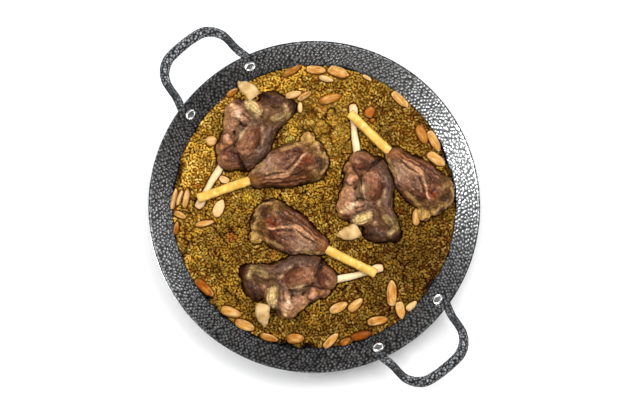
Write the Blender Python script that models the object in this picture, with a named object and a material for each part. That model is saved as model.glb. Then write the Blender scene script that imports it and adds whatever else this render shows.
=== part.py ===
"""A two-handled hammered pan of cooked freekeh, with three pairs of lamb pieces on the bone
and toasted almond halves on top.

Frame: +Z up, the origin in the middle of the pan's flat underside, +X towards one handle.
Lengths in this script are millimetres and are turned into metres where a mesh is made.
"""
import itertools
import math
import random

import bpy
import numpy as np
from mathutils import Matrix, Vector
from mathutils.bvhtree import BVHTree
from mathutils.geometry import delaunay_2d_cdt

MM = 0.001
CLEARANCE = 0.3                 # between pieces that touch

# The pan: a flat floor, a fillet and a straight wall that leans outwards.
RIM_RADIUS = 190.0
RIM_HEIGHT = 48.0
SHEET = 2.0
MOUTH_RADIUS = 188.0            # inner edge of the rim
FLOOR_RADIUS = 153.5            # where the line of the wall meets the top of the floor
FLOOR_FILLET = 8.0              # run of the fillet, on the floor and up the wall
PAN_SIDES = 72

# The handles: a strap, riveted to the wall by a flat tab at each end.
TAB_HALF = (7.5, 1.5)           # half width, half thickness
LEG_HALF = (4.2, 2.5)
BAR_HALF = (5.2, 3.0)
RIVET_TURN = math.radians(14.35)  # from the handle's middle to a rivet, round the pan
RIVET_HEIGHT = 36.3
RIVET_SHANK = 3.0
RIVET_SIDES = 8

# The bed of freekeh.
BED_EDGE = 18.5                 # height of its edge, above the pan's underside
BED_CROWN = 3.5                 # how much higher its middle is
GRAIN = 5.9                     # spacing of the bumps that stand for grains
GRAIN_RISE = 1.0
HIDDEN_SPACING = 11.0           # spacing of the surface points under the meat
BED_GAP = 0.5                   # between the bed and what lies in it

# Places are read in the plan of the pan, in steps of 1/622 of the plan's width.
PLAN_CENTRE = (314.2, 206.9)
PLAN_STEP = 1.1432              # one step at the rim, in millimetres
EYE_HEIGHT = 2400.0             # of the eye that reads the plan, above the rim
HANDLE_TURN = math.radians(51.1)

# A pair of lamb pieces: lumps that flow into one another, each as its place in the plan,
# its half length and half width in steps, its middle height and half height in millimetres
# and its turn in degrees.
PAIR_CENTRE = (265.0, 150.0)
PAIR_LEVEL = 34.0               # of the outline that the places below were read from
KNUCKLE = (
    ((238, 113), (14.0, 13.5), (29, 17), 0),
    ((232, 123), (9.0, 10.0), (26, 13), 0),
    ((247, 143), (13.5, 18.0), (29, 18), -18),
    ((227, 138), (6.5, 8.0), (24, 13), 0),
    ((221, 149), (5.5, 6.0), (21, 11), 0),
    ((231, 148), (7.0, 7.0), (22, 12), 0),
    ((229, 160), (11.5, 10.5), (25, 15), 0),
    ((246, 162), (10.0, 9.0), (22, 13), 0),
    ((269, 133), (6.5, 16.0), (25, 14), -22),
    ((259, 153), (7.0, 13.0), (24, 13.5), -40),
    ((276, 119), (13.0, 8.5), (27, 15), 25),
    ((276, 101), (17.0, 7.5), (23, 13), -22),
    ((290, 108), (5.5, 6.5), (20, 11), -20),
    ((256, 109), (4.5, 11.0), (33, 11), 40),
    ((265, 107), (7.0, 7.0), (23, 12), 0),
    ((252, 122), (16.0, 16.0), (24, 14), 0),
)
SHANK = (
    ((288, 163), (27.0, 17.0), (29, 17.5), 14),
    ((312, 163), (17.0, 18.5), (27, 16), 0),
    ((262, 174), (13.0, 10.0), (27, 13), 20),
    ((257, 180), (8.0, 7.0), (25, 11), 0),
    ((285, 177), (26.0, 10.5), (25, 14), 4),
    ((291, 150), (12.0, 7.0), (26, 12), 20),
    ((309, 139), (6.5, 7.0), (25, 8), 60),
    ((315, 147), (8.0, 6.0), (24, 9), -20),
)
MELT = 2.2                      # how softly lumps flow together
MEAT_CELL = 9.5                 # of the grid that the lumps are meshed on
MEAT_APART = 2.6                # kept between a knuckle and its shank
# Bones and gristle, as (place in the plan), height, (half width, half thickness).
THIN_BONE = (
    ((196.6, 207.4), 19.4, (4.2, 3.4)),
    ((200.0, 202.6), 19.6, (5.0, 4.0)),
    ((205.0, 192.0), 19.8, (3.6, 3.6)),
    ((212.0, 179.5), 21.2, (3.9, 3.8)),
    ((218.0, 170.5), 22.8, (4.3, 4.0)),
    ((222.0, 164.0), 23.6, (4.0, 3.8)),
)
SHIN_BONE = (
    ((197.7, 197.4), 28.4, (5.5, 4.6)),
    ((202.0, 196.2), 28.4, (5.4, 4.8)),
    ((216.0, 191.0), 28.4, (4.7, 4.5)),
    ((232.0, 185.4), 28.2, (4.6, 4.4)),
    ((245.0, 181.0), 28.0, (4.9, 4.5)),
    ((252.5, 178.4), 28.0, (4.7, 4.3)),
)
GRISTLE = (
    ((237.8, 81.6), 27.0, (1.6, 1.6)),
    ((243.0, 85.2), 29.0, (5.4, 4.4)),
    ((249.0, 89.6), 31.0, (9.0, 7.0)),
    ((254.0, 93.4), 31.0, (8.6, 7.0)),
    ((257.8, 96.6), 30.0, (4.0, 4.0)),
)
# The pairs: middle in the plan, turn in degrees, and whether it is the mirror image.
PAIRS = {
    "a": ((265.0, 150.0), 0.0, False),
    "b": ((390.4, 185.3), -24.96, True),
    "c": ((294.1, 259.7), 134.45, False),
}

# Almond halves: place in the plan, length and width in steps, turn in degrees, and roll
# in degrees, 0 for one that lies flat.
ALMOND_THICKNESS = 4.4
ALMOND_SIDES = 8
ALMONDS = (
    ((292.0, 71.0), (22.6, 9.0), 30, 58),
    ((316.0, 69.8), (20.0, 8.4), -4, 10),
    ((338.5, 72.0), (22.5, 10.0), -18, 5),
    ((326.3, 79.0), (15.3, 7.0), -14, 40),
    ((293.5, 94.5), (17.0, 7.0), 15, 20),
    ((304.5, 95.6), (17.0, 7.5), 32, 50),
    ((330.5, 98.6), (22.8, 9.2), 17, 6),
    ((369.7, 111.9), (12.0, 10.5), 60, 4),
    ((400.5, 99.8), (21.5, 8.5), -42, 14),
    ((422.0, 135.0), (19.5, 9.8), -66, 4),
    ((434.2, 141.0), (23.0, 9.0), -62, 12),
    ((436.3, 159.2), (21.5, 10.0), -36, 3),
    ((416.2, 216.8), (17.4, 8.0), 90, 10),
    ((173.0, 199.1), (23.2, 9.0), 78, 72),
    ((179.6, 197.7), (16.4, 7.5), 72, 74),
    ((186.2, 198.2), (20.0, 8.0), 80, 50),
    ((180.4, 215.0), (13.0, 6.5), -25, 15),
    ((173.5, 228.5), (13.6, 6.0), 80, 40),
    ((205.0, 223.5), (19.5, 6.5), 12, 25),
    ((219.1, 208.2), (18.5, 10.5), 66, 6),
    ((224.6, 179.8), (11.0, 7.5), -20, 8),
    ((211.5, 140.8), (11.0, 10.0), 20, 10),
    ((232.0, 91.5), (13.5, 7.0), 31, 45),
    ((204.7, 287.6), (25.0, 9.3), -45, 8),
    ((230.8, 312.0), (21.5, 10.0), -18, 4),
    ((245.0, 325.6), (21.0, 10.0), -22, 4),
    ((269.0, 338.8), (19.5, 8.0), -16, 30),
    ((295.5, 338.6), (18.0, 10.0), 2, 6),
    ((331.0, 340.5), (20.5, 8.0), 45, 12),
    ((345.4, 341.4), (12.0, 6.6), 30, 10),
    ((361.0, 335.6), (21.0, 9.0), 13, 4),
    ((378.0, 320.6), (21.0, 9.0), 10, 6),
    ((338.5, 307.3), (20.5, 9.5), 25, 5),
    ((355.5, 305.0), (18.5, 9.0), 42, 5),
    ((391.7, 293.2), (27.0, 10.5), 90, 4),
    ((400.4, 310.0), (18.0, 9.0), -80, 12),
    ((411.4, 306.0), (13.0, 7.0), 42, 8),
)

# Colour, roughness and metallic value of each material.
FINISHES = {
    "hammered_steel": ((0.045, 0.05, 0.055), 0.38, 0.9),
    "handle_steel": ((0.05, 0.052, 0.055), 0.4, 0.9),
    "rivet_steel": ((0.6, 0.6, 0.58), 0.22, 1.0),
    "freekeh": ((0.36, 0.22, 0.045), 0.55, 0.0),
    "lamb": ((0.27, 0.12, 0.075), 0.45, 0.0),
    "bone_white": ((0.8, 0.7, 0.52), 0.45, 0.0),
    "bone_yellow": ((0.72, 0.46, 0.11), 0.42, 0.0),
    "gristle": ((0.82, 0.64, 0.4), 0.35, 0.0),
    "toasted_almond": ((0.68, 0.34, 0.1), 0.5, 0.0),
}


def clear_scene():
    for obj in list(bpy.data.objects):
        bpy.data.objects.remove(obj, do_unlink=True)


def finish(name):
    """The named material, made at its first use."""
    material = bpy.data.materials.get(name)
    if material is None:
        colour, roughness, metallic = FINISHES[name]
        material = bpy.data.materials.new(name)
        material.use_nodes = True
        shader = material.node_tree.nodes["Principled BSDF"]
        shader.inputs["Base Color"].default_value = (*colour, 1.0)
        shader.inputs["Roughness"].default_value = roughness
        shader.inputs["Metallic"].default_value = metallic
    return material


def plan(place, level):
    """Where a place of the plan lies in the pan's frame, for a thing at that height."""
    step = PLAN_STEP * (1 + (RIM_HEIGHT - level) / EYE_HEIGHT)
    right = (place[0] - PLAN_CENTRE[0]) * step
    up = (PLAN_CENTRE[1] - place[1]) * step
    turned = Vector((right, up)).copy()
    turned.rotate(Matrix.Rotation(HANDLE_TURN, 2))
    return turned


def in_pair(place, height):
    """A place of the plan in the pair's own frame, whose middle is PAIR_CENTRE."""
    return Vector(((place[0] - PAIR_CENTRE[0]) * PLAN_STEP,
                   (PAIR_CENTRE[1] - place[1]) * PLAN_STEP, height))


def mesh_of(points, faces):
    mesh = bpy.data.meshes.new("shape")
    mesh.from_pydata([tuple(point) for point in points], [], faces)
    mesh.update()
    return mesh


def add_object(name, mesh, material, crease=40):
    """Link a mesh in millimetres as an object in metres."""
    mesh.name = name
    mesh.transform(Matrix.Scale(MM, 4))
    mesh.materials.clear()
    mesh.materials.append(finish(material))
    mesh.shade_smooth()
    mesh.set_sharp_from_angle(angle=math.radians(crease))
    obj = bpy.data.objects.new(name, mesh)
    bpy.context.collection.objects.link(obj)
    return obj


def cut(mesh, tools):
    """A copy of the mesh with the tool meshes cut out of it."""
    body = bpy.data.objects.new("body", mesh)
    bpy.context.collection.objects.link(body)
    helpers = [body]
    for tool in tools:
        helper = bpy.data.objects.new("tool", tool)
        bpy.context.collection.objects.link(helper)
        helpers.append(helper)
        boolean = body.modifiers.new("cut", "BOOLEAN")
        boolean.operation = "DIFFERENCE"
        boolean.solver = "EXACT"
        boolean.object = helper
    bpy.context.view_layer.update()
    evaluated = body.evaluated_get(bpy.context.evaluated_depsgraph_get())
    result = bpy.data.meshes.new_from_object(evaluated)
    for helper in helpers:
        bpy.data.objects.remove(helper, do_unlink=True)
    return result


def turned_shape(profile, sides, place=Matrix.Identity(4)):
    """Closed mesh of a profile of (radius, height) from one end of the axis to the other,
    turned about Z; the profile runs anticlockwise seen with the radius to the right."""
    points = [Vector((0, 0, profile[0][1]))]
    for radius, height in profile[1:-1]:
        for side in range(sides):
            angle = math.tau * side / sides
            points.append(Vector((radius * math.cos(angle), radius * math.sin(angle), height)))
    points.append(Vector((0, 0, profile[-1][1])))
    faces = []
    last = len(points) - 1
    rings = len(profile) - 2
    for side in range(sides):
        after = (side + 1) % sides
        faces.append((0, 1 + after, 1 + side))
        for ring in range(rings - 1):
            low = 1 + ring * sides
            faces.append((low + side, low + after, low + sides + after, low + sides + side))
        top = 1 + (rings - 1) * sides
        faces.append((top + side, top + after, last))
    return mesh_of([place @ point for point in points], faces)


def loft(path, halves, sides, roundness=1.0):
    """Closed mesh swept along a path; each ring has its own half width, measured level,
    and half thickness. A roundness below 1 squares the section."""
    points = []
    for step, middle in enumerate(path):
        before = path[max(step - 1, 0)]
        after = path[min(step + 1, len(path) - 1)]
        along = (after - before).normalized()
        across = along.cross(Vector((0, 0, 1))).normalized()
        lift = across.cross(along)
        for side in range(sides):
            angle = math.tau * (side + 0.5) / sides
            wide = math.copysign(abs(math.cos(angle)) ** roundness, math.cos(angle))
            high = math.copysign(abs(math.sin(angle)) ** roundness, math.sin(angle))
            points.append(middle + across * wide * halves[step][0] + lift * high * halves[step][1])
    faces = [tuple(range(sides))]
    for ring in range(len(path) - 1):
        low = ring * sides
        for side in range(sides):
            after = (side + 1) % sides
            faces.append((low + side, low + sides + side, low + sides + after, low + after))
    end = (len(path) - 1) * sides
    faces.append(tuple(end + side for side in reversed(range(sides))))
    return mesh_of(points, faces)


def skin(field, low, high, cell):
    """Closed quad mesh of the surface where the field is zero, from a grid of cubes. The
    field is negative inside, and each cube that the surface crosses gives one point."""
    low = np.array(low, float)
    counts = np.ceil((np.array(high) - low) / cell).astype(int) + 1
    index = np.stack(np.meshgrid(*[np.arange(n) for n in counts], indexing="ij"), -1)
    value = field(low + index * cell)
    total = np.zeros((*(counts - 1), 3))
    hits = np.zeros(counts - 1)
    for axis, corner in itertools.product(range(3), itertools.product((0, 1), repeat=3)):
        if corner[axis]:
            continue
        start = [slice(c, n - 1 + c) for c, n in zip(corner, counts)]
        end = list(start)
        end[axis] = slice(1, counts[axis])
        first, second = value[tuple(start)], value[tuple(end)]
        crossed = (first < 0) != (second < 0)
        share = first / np.where(crossed, first - second, 1)
        point = np.array(corner) + share[..., None] * np.eye(3)[axis]
        total += np.where(crossed[..., None], point, 0)
        hits += crossed
    used = hits > 0
    number = np.cumsum(used).reshape(used.shape) - 1
    points = low + (np.argwhere(used) + total[used] / hits[used][:, None]) * cell
    faces = []
    for axis in range(3):
        one, two = np.eye(3, dtype=int)[(axis + 1) % 3], np.eye(3, dtype=int)[(axis + 2) % 3]
        window = [slice(1, n - 1) for n in counts]
        window[axis] = slice(0, counts[axis] - 1)
        beyond = list(window)
        beyond[axis] = slice(1, counts[axis])
        first, second = value[tuple(window)], value[tuple(beyond)]
        offset = 1 - np.eye(3, dtype=int)[axis]
        for inside in (True, False):
            spots = np.argwhere(((first < 0) == inside) & ((second < 0) != inside)) + offset
            ring = [spots - one - two, spots - two, spots, spots - one]
            quads = np.stack([number[tuple(spot.T)] for spot in ring], 1)
            faces.extend((quads if inside else quads[:, ::-1]).tolist())
    return mesh_of(points, faces)


def lumps_field(lumps):
    """Distance-like field of the lumps, flowing into one another, in the pair's frame."""
    def field(points):
        total = np.zeros(points.shape[:-1])
        for place, (length, width), (height, rise), turn in lumps:
            offset = points - np.array(in_pair(place, height))
            cosine, sine = math.cos(math.radians(turn)), math.sin(math.radians(turn))
            along = offset[..., 0] * cosine + offset[..., 1] * sine
            across = offset[..., 1] * cosine - offset[..., 0] * sine
            scaled = np.stack((along, across, offset[..., 2]), -1)
            halves = np.array((length * PLAN_STEP, width * PLAN_STEP, rise))
            reach = np.linalg.norm(scaled / halves, axis=-1)
            slope = np.linalg.norm(scaled / halves ** 2, axis=-1) + 1e-9
            total += np.exp(-np.clip(reach * (reach - 1) / slope, -60, 200) / MELT)
        return -MELT * np.log(total + 1e-30)
    return field


def bone_mesh(rings, sides, extra=0.0, roundness=1.0):
    """A bone in the pair's frame, thickened and lengthened by extra for a socket."""
    path = [in_pair(place, height) for place, height, _ in rings]
    path[-1] = path[-1] + (path[-1] - path[-2]).normalized() * extra
    path[0] = path[0] + (path[0] - path[1]).normalized() * extra
    halves = [(wide + extra, thick + extra) for _, _, (wide, thick) in rings]
    return loft(path, halves, sides, roundness)


def pair_meshes():
    """The meshes of one pair of lamb pieces with bones and gristle, in the pair's frame."""
    knuckle_field = lumps_field(KNUCKLE)
    shank_field = lumps_field(SHANK)

    def shank_apart(points):
        return np.maximum(shank_field(points), MEAT_APART - knuckle_field(points))

    low, high = in_pair((196.7, 203.3), -2.75), in_pair((340, 85), 56)
    socket = CLEARANCE + 0.1
    knuckle = cut(skin(knuckle_field, low, high, MEAT_CELL),
                  [bone_mesh(THIN_BONE, 8, socket), bone_mesh(GRISTLE, 8, socket)])
    shank = cut(skin(shank_apart, low, high, MEAT_CELL),
                [bone_mesh(SHIN_BONE, 8, socket, 0.8)])
    return {
        "knuckle": (knuckle, "lamb"),
        "shank": (shank, "lamb"),
        "thin_bone": (bone_mesh(THIN_BONE, 8), "bone_white"),
        "shin_bone": (bone_mesh(SHIN_BONE, 8, roundness=0.8), "bone_yellow"),
        "gristle": (bone_mesh(GRISTLE, 8), "gristle"),
    }


def pair_matrix(name):
    """Takes the pair's frame to its place in the pan."""
    centre, turn, mirrored = PAIRS[name]
    spot = plan(centre, PAIR_LEVEL)
    mirror = Matrix.Scale(-1, 4, (0, 1, 0)) if mirrored else Matrix.Identity(4)
    rotation = Matrix.Rotation(math.radians(turn) + HANDLE_TURN, 4, "Z")
    return Matrix.Translation((spot.x, spot.y, 0)) @ rotation @ mirror


def wall_radius(height):
    """Inner radius of the pan's wall at a height, on the straight line of the wall."""
    return FLOOR_RADIUS + (MOUTH_RADIUS - FLOOR_RADIUS) * (height - SHEET) / (RIM_HEIGHT - SHEET)


def wall_slope():
    """Unit vector up the wall, as (outwards, up)."""
    return Vector((MOUTH_RADIUS - FLOOR_RADIUS, RIM_HEIGHT - SHEET)).normalized()


def inner_profile(gap):
    """(radius, height) from the floor's middle up to the end of the fillet, moved in by gap."""
    slope = wall_slope()
    start = Vector((FLOOR_RADIUS, SHEET))
    floor_end = start - Vector((FLOOR_FILLET, 0))
    wall_end = start + slope * FLOOR_FILLET
    middle = (floor_end + wall_end + 2 * start) / 4
    inwards = Vector((-slope.y, slope.x))
    return [(0.0, SHEET + gap), tuple(floor_end + Vector((0, gap))),
            tuple(middle + (inwards + Vector((0, 1))).normalized() * gap),
            tuple(wall_end + inwards * gap)]


def pan_mesh():
    outwards = Vector((wall_slope().y, -wall_slope().x)) * SHEET
    floor, fillet_start, fillet_middle, fillet_end = inner_profile(0.0)
    outer_start = (fillet_start[0], 0.0)
    outer_middle = (fillet_middle[0] + 0.5 * outwards.x, fillet_middle[1] - 0.86 * SHEET)
    outer_end = tuple(Vector(fillet_end) + outwards)
    rim = [(RIM_RADIUS - 0.3, RIM_HEIGHT - 1.4), (RIM_RADIUS, RIM_HEIGHT - 0.4),
           (RIM_RADIUS - 0.7, RIM_HEIGHT), (MOUTH_RADIUS, RIM_HEIGHT - 0.4)]
    profile = [(0.0, 0.0), outer_start, outer_middle, outer_end, *rim,
               fillet_end, fillet_middle, fillet_start, floor]
    return turned_shape(profile, PAN_SIDES)


def rivet_frames():
    """Matrices with the origin on the wall's inner face and +Z into the pan, along the
    wall's normal: two for each handle."""
    slope = wall_slope()
    radius = wall_radius(RIVET_HEIGHT)
    frames = []
    for handle, side in itertools.product((0, 1), (-1, 1)):
        tilt = Matrix.Rotation(-math.atan2(slope.y, slope.x), 4, "Y")
        spot = Matrix.Translation((radius, 0, RIVET_HEIGHT))
        turn = Matrix.Rotation(handle * math.pi + side * RIVET_TURN, 4, "Z")
        frames.append(turn @ spot @ tilt)
    return frames


def hole_mesh(frame):
    wide = RIVET_SHANK + CLEARANCE + 0.05
    return turned_shape([(0, -7.5), (wide, -7.5), (wide, 3), (0, 3)], RIVET_SIDES, frame)


def rivet_mesh(frame):
    under_head = CLEARANCE + 0.2
    outer_face = -(SHEET + CLEARANCE + 2 * TAB_HALF[1]) - under_head
    profile = [(0, outer_face - 2.2), (3.8, outer_face - 1.6), (5.0, outer_face),
               (RIVET_SHANK, outer_face), (RIVET_SHANK, under_head), (6.0, under_head),
               (5.5, under_head + 1.8), (3.3, under_head + 3.5), (0, under_head + 4.1)]
    return turned_shape(profile, RIVET_SIDES, frame)


def handle_mesh(turn):
    """One handle: tab up the wall, out past the rim, round the bar and back."""
    slope = wall_slope()
    away = (SHEET + CLEARANCE + TAB_HALF[1]) / slope.y

    def on_wall(height, lifted=0.0):
        radius = wall_radius(height) + away + lifted
        return Vector((radius * math.cos(RIVET_TURN), radius * math.sin(RIVET_TURN), height))

    half = [
        (on_wall(28.0), (5.0, 1.4)),
        (on_wall(30.5), TAB_HALF),
        (on_wall(39.5), (7.0, 1.5)),
        (on_wall(43.2, 1.2), (4.8, 1.8)),
        (Vector((191.5, 45.4, 45.6)), (4.4, 2.2)),
        (Vector((199.0, 43.9, 47.0)), LEG_HALF),
        (Vector((208.0, 43.4, 47.6)), LEG_HALF),
        (Vector((217.5, 41.7, 48.0)), (4.6, 2.7)),
        (Vector((225.5, 37.4, 48.2)), (5.0, 2.9)),
        (Vector((231.6, 30.2, 48.4)), BAR_HALF),
        (Vector((235.3, 20.6, 48.5)), BAR_HALF),
    ]
    rings = half + [(Vector((236.6, 0.0, 48.6)), BAR_HALF)]
    rings += [(Vector((spot.x, -spot.y, spot.z)), size) for spot, size in reversed(half)]
    rings = rings[::-1]
    rotation = Matrix.Rotation(turn, 3, "Z")
    mesh = loft([rotation @ spot for spot, _ in rings], [size for _, size in rings], 8, 0.75)
    return mesh


def almond_mesh(length, width, turn, roll, seed):
    """An almond half: pointed at one end, domed above and flatter below."""
    draw = random.Random(seed)
    points = [Vector((0, 0, 0.55 * ALMOND_THICKNESS))]
    for share, height in ((0.62, 0.44), (1.0, 0.0), (0.66, -0.36)):
        for side in range(ALMOND_SIDES):
            angle = math.tau * side / ALMOND_SIDES
            taper = 1 - 0.2 * math.cos(angle)
            wobble = 1 + 0.05 * draw.uniform(-1, 1)
            points.append(Vector((0.5 * length * share * math.cos(angle) * wobble,
                                  0.5 * width * share * math.sin(angle) * taper * wobble,
                                  height * ALMOND_THICKNESS)))
    points.append(Vector((0, 0, -0.42 * ALMOND_THICKNESS)))
    sides, last = ALMOND_SIDES, len(points) - 1
    faces = []
    for side in range(sides):
        after = (side + 1) % sides
        faces.append((0, 1 + side, 1 + after))
        for low in (1, 1 + sides):
            faces.append((low + side, low + sides + side, low + sides + after, low + after))
        faces.append((1 + 2 * sides + side, last, 1 + 2 * sides + after))
    tilt = Matrix.Rotation(math.radians(turn), 3, "Z") @ Matrix.Rotation(math.radians(roll), 3, "X")
    return [tilt @ point for point in points], faces


def almond_meshes():
    """Each almond at its place on the bed, kept inside the wall."""
    meshes = []
    for number, (place, (length, width), turn, roll) in enumerate(ALMONDS):
        points, faces = almond_mesh(length * PLAN_STEP, width * PLAN_STEP,
                                    turn + math.degrees(HANDLE_TURN), roll, number)
        spot = plan(place, BED_EDGE)
        sunk = 0.3 * abs(min(point.z for point in points))
        level = bed_level(spot.length) - min(point.z for point in points) - sunk - 0.8
        points = [point + Vector((spot.x, spot.y, level)) for point in points]
        excess = max(point.xy.length + 1.2 - wall_radius(point.z) for point in points)
        if excess > 0:
            inwards = -spot.normalized() * excess
            points = [point + Vector((inwards.x, inwards.y, 0)) for point in points]
        meshes.append(mesh_of(points, faces))
    return meshes


def bed_level(radius):
    return BED_EDGE + BED_CROWN * (1 - (radius / wall_radius(BED_EDGE)) ** 2)


def underside_tree(meshes):
    """Tree of all the faces of what lies on the bed."""
    points, faces = [], []
    for mesh in meshes:
        first = len(points)
        points.extend(vertex.co.copy() for vertex in mesh.vertices)
        faces.extend(tuple(first + corner for corner in face.vertices) for face in mesh.polygons)
    return BVHTree.FromPolygons(points, faces)


def bed_points(tree):
    """Points of the bed's surface in the plan: a close jittered lattice where grains show,
    and a wide one under the meat, inside a ring on the wall."""
    draw = random.Random(11)
    edge = wall_radius(BED_EDGE) - (CLEARANCE + 0.1) / wall_slope().y
    ring = [Vector((edge * math.cos(math.tau * side / PAN_SIDES),
                    edge * math.sin(math.tau * side / PAN_SIDES))) for side in range(PAN_SIDES)]

    def covered(x, y):
        return all(tree.ray_cast(Vector((x + dx, y + dy, -5)), Vector((0, 0, 1)))[0] is not None
                   for dx, dy in ((0, 0), (GRAIN, 0), (-GRAIN, 0), (0, GRAIN), (0, -GRAIN)))

    inner = []
    for spacing, hidden in ((GRAIN, False), (HIDDEN_SPACING, True)):
        rows = int(2 * edge / (spacing * math.sqrt(0.75))) + 1
        for row, column in itertools.product(range(rows), range(int(2 * edge / spacing) + 1)):
            x = -edge + (column + 0.5 * (row % 2) + draw.uniform(-0.22, 0.22)) * spacing
            y = -edge + (row + draw.uniform(-0.22, 0.22)) * spacing * math.sqrt(0.75)
            if math.hypot(x, y) < edge - 0.7 * GRAIN and covered(x, y) == hidden:
                inner.append(Vector((x, y)))
    return ring, inner


def bed_mesh(toppings):
    """The bed: flat below, bumpy above, lowered wherever something lies in it."""
    tree = underside_tree(toppings)
    ring, inner = bed_points(tree)
    flat = delaunay_2d_cdt(ring + inner, [], [list(range(PAN_SIDES))], 1, 1e-4)
    spots, triangles = np.array([tuple(spot) for spot in flat[0]]), np.array(flat[2])
    draw = np.random.default_rng(5)
    heights = np.array([bed_level(math.hypot(*spot)) for spot in spots])
    heights += draw.uniform(-GRAIN_RISE, GRAIN_RISE, len(spots))

    steps = 5
    weights = np.array([(a, b, steps - a - b) for a in range(steps + 1)
                        for b in range(steps + 1 - a)]) / steps
    limits = np.full((len(triangles), len(weights)), np.inf)
    for number, corners in enumerate(spots[triangles]):
        for probe, spot in enumerate(weights @ corners):
            hit = tree.ray_cast(Vector((spot[0], spot[1], -5)), Vector((0, 0, 1)))[0]
            if hit is not None:
                limits[number, probe] = hit.z - BED_GAP
    push = weights / (weights ** 2).sum(1)[:, None]
    for _ in range(200):
        excess = np.maximum(heights[triangles] @ weights.T - limits, 0)
        if excess.max() < 1e-3:
            break
        drop = np.zeros(len(heights))
        for corner in range(3):
            np.maximum.at(drop, triangles[:, corner], (excess * push[:, corner]).max(1))
        heights -= drop
    heights = np.maximum(heights, SHEET + 2.5)

    wall_gap = (CLEARANCE + 0.1) / wall_slope().y
    points = [Vector((*spot, height)) for spot, height in zip(spots, heights)]
    rim_order = [int(np.argmin(np.hypot(*(spots - np.array(spot)).T))) for spot in ring]
    for number in rim_order:
        radius = wall_radius(points[number].z) - wall_gap
        points[number].xy = points[number].xy.normalized() * radius
    faces = [tuple(int(corner) for corner in triangle) for triangle in triangles]
    above = rim_order
    for radius, height in reversed(inner_profile(CLEARANCE + 0.1)[1:]):
        below = []
        for side in range(PAN_SIDES):
            angle = math.tau * side / PAN_SIDES
            below.append(len(points))
            points.append(Vector((radius * math.cos(angle), radius * math.sin(angle), height)))
        for side in range(PAN_SIDES):
            after = (side + 1) % PAN_SIDES
            faces.append((above[side], below[side], below[after], above[after]))
        above = below
    faces.append(tuple(reversed(above)))
    return mesh_of(points, faces)


def build():
    clear_scene()
    frames = rivet_frames()
    holes = [hole_mesh(frame) for frame in frames]
    add_object("pan", cut(pan_mesh(), holes), "hammered_steel")
    for number, turn in enumerate((0.0, math.pi)):
        tools = [hole_mesh(frame) for frame in frames[2 * number:2 * number + 2]]
        add_object(f"handle_{number + 1}", cut(handle_mesh(turn), tools), "handle_steel")
    for number, frame in enumerate(frames):
        add_object(f"rivet_{number + 1}", rivet_mesh(frame), "rivet_steel")

    toppings = []
    for pair in PAIRS:
        matrix = pair_matrix(pair)
        for name, (mesh, material) in pair_meshes().items():
            mesh.transform(matrix)
            if matrix.determinant() < 0:
                mesh.flip_normals()
            toppings.append((f"{name}_{pair}", mesh, material))
    for number, mesh in enumerate(almond_meshes()):
        toppings.append((f"almond_{number + 1:02d}", mesh, "toasted_almond"))
    bed = bed_mesh([mesh for _, mesh, _ in toppings])
    add_object("freekeh", bed, "freekeh")
    for name, mesh, material in toppings:
        add_object(name, mesh, material)


build()
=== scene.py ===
"""The looks of a two-handled hammered pan of cooked freekeh, topped with three pairs of lamb
pieces on the bone and toasted almond halves.

Lengths are millimetres until a mesh is made, which turns them into metres. Places on the
food are read in the plan of the pan, in steps of 1/622 of the plan's width.
"""
import itertools
import math

import bpy
import numpy as np
from mathutils import Matrix, Vector


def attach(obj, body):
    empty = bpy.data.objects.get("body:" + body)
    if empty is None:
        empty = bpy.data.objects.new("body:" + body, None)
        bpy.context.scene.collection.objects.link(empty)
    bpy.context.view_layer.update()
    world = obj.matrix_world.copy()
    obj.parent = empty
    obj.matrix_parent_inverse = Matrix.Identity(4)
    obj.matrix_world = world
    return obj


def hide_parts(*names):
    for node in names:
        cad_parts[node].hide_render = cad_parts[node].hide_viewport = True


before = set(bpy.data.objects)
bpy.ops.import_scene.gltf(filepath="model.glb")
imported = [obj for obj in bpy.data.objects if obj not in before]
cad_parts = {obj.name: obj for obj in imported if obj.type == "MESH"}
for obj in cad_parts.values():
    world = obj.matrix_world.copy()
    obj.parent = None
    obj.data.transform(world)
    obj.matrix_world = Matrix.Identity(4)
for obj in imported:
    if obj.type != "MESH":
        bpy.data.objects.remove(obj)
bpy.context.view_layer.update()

MM = 0.001

# The pan, as the frame has it.
RIM_RADIUS = 190.0
RIM_HEIGHT = 48.0
SHEET = 2.0
MOUTH_RADIUS = 188.0
FLOOR_RADIUS = 153.5
FLOOR_FILLET = 8.0
RIVET_TURN = math.radians(14.35)
RIVET_HEIGHT = 36.3
TAB_THICKNESS = 3.0
TAB_GAP = 0.3                   # between the wall and a tab
BED_EDGE = 18.5
BED_CROWN = 3.5
WALL_START = np.array((FLOOR_RADIUS, SHEET))
WALL_RUN = np.array((MOUTH_RADIUS, RIM_HEIGHT)) - WALL_START
WALL_SLOPE = WALL_RUN / math.hypot(*WALL_RUN)   # unit vector up the wall: outwards, up

# The plan: its middle, the size of a step at the rim, and the eye above it.
PLAN_CENTRE = (314.2, 206.9)
PLAN_STEP = 1.1432
PLAN_WIDTH = 622
EYE_PLACE = (311.0, 207.5)
EYE_HEIGHT = 2400.0             # above the rim
HANDLE_TURN = math.radians(51.1)


# ---------------------------------------------------------------- places and meshes

def plan(place, level):
    """Where a place of the plan lies in the pan's frame, for a thing at that height."""
    step = PLAN_STEP * (1 + (RIM_HEIGHT - level) / EYE_HEIGHT)
    turned = Vector(((place[0] - PLAN_CENTRE[0]) * step, (PLAN_CENTRE[1] - place[1]) * step))
    turned.rotate(Matrix.Rotation(HANDLE_TURN, 2))
    return turned


def seen(right, up, height):
    """A place in metres given by its distance to the right and up in the picture."""
    turned = Vector((right, up))
    turned.rotate(Matrix.Rotation(HANDLE_TURN, 2))
    return Vector((turned.x, turned.y, height))


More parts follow.
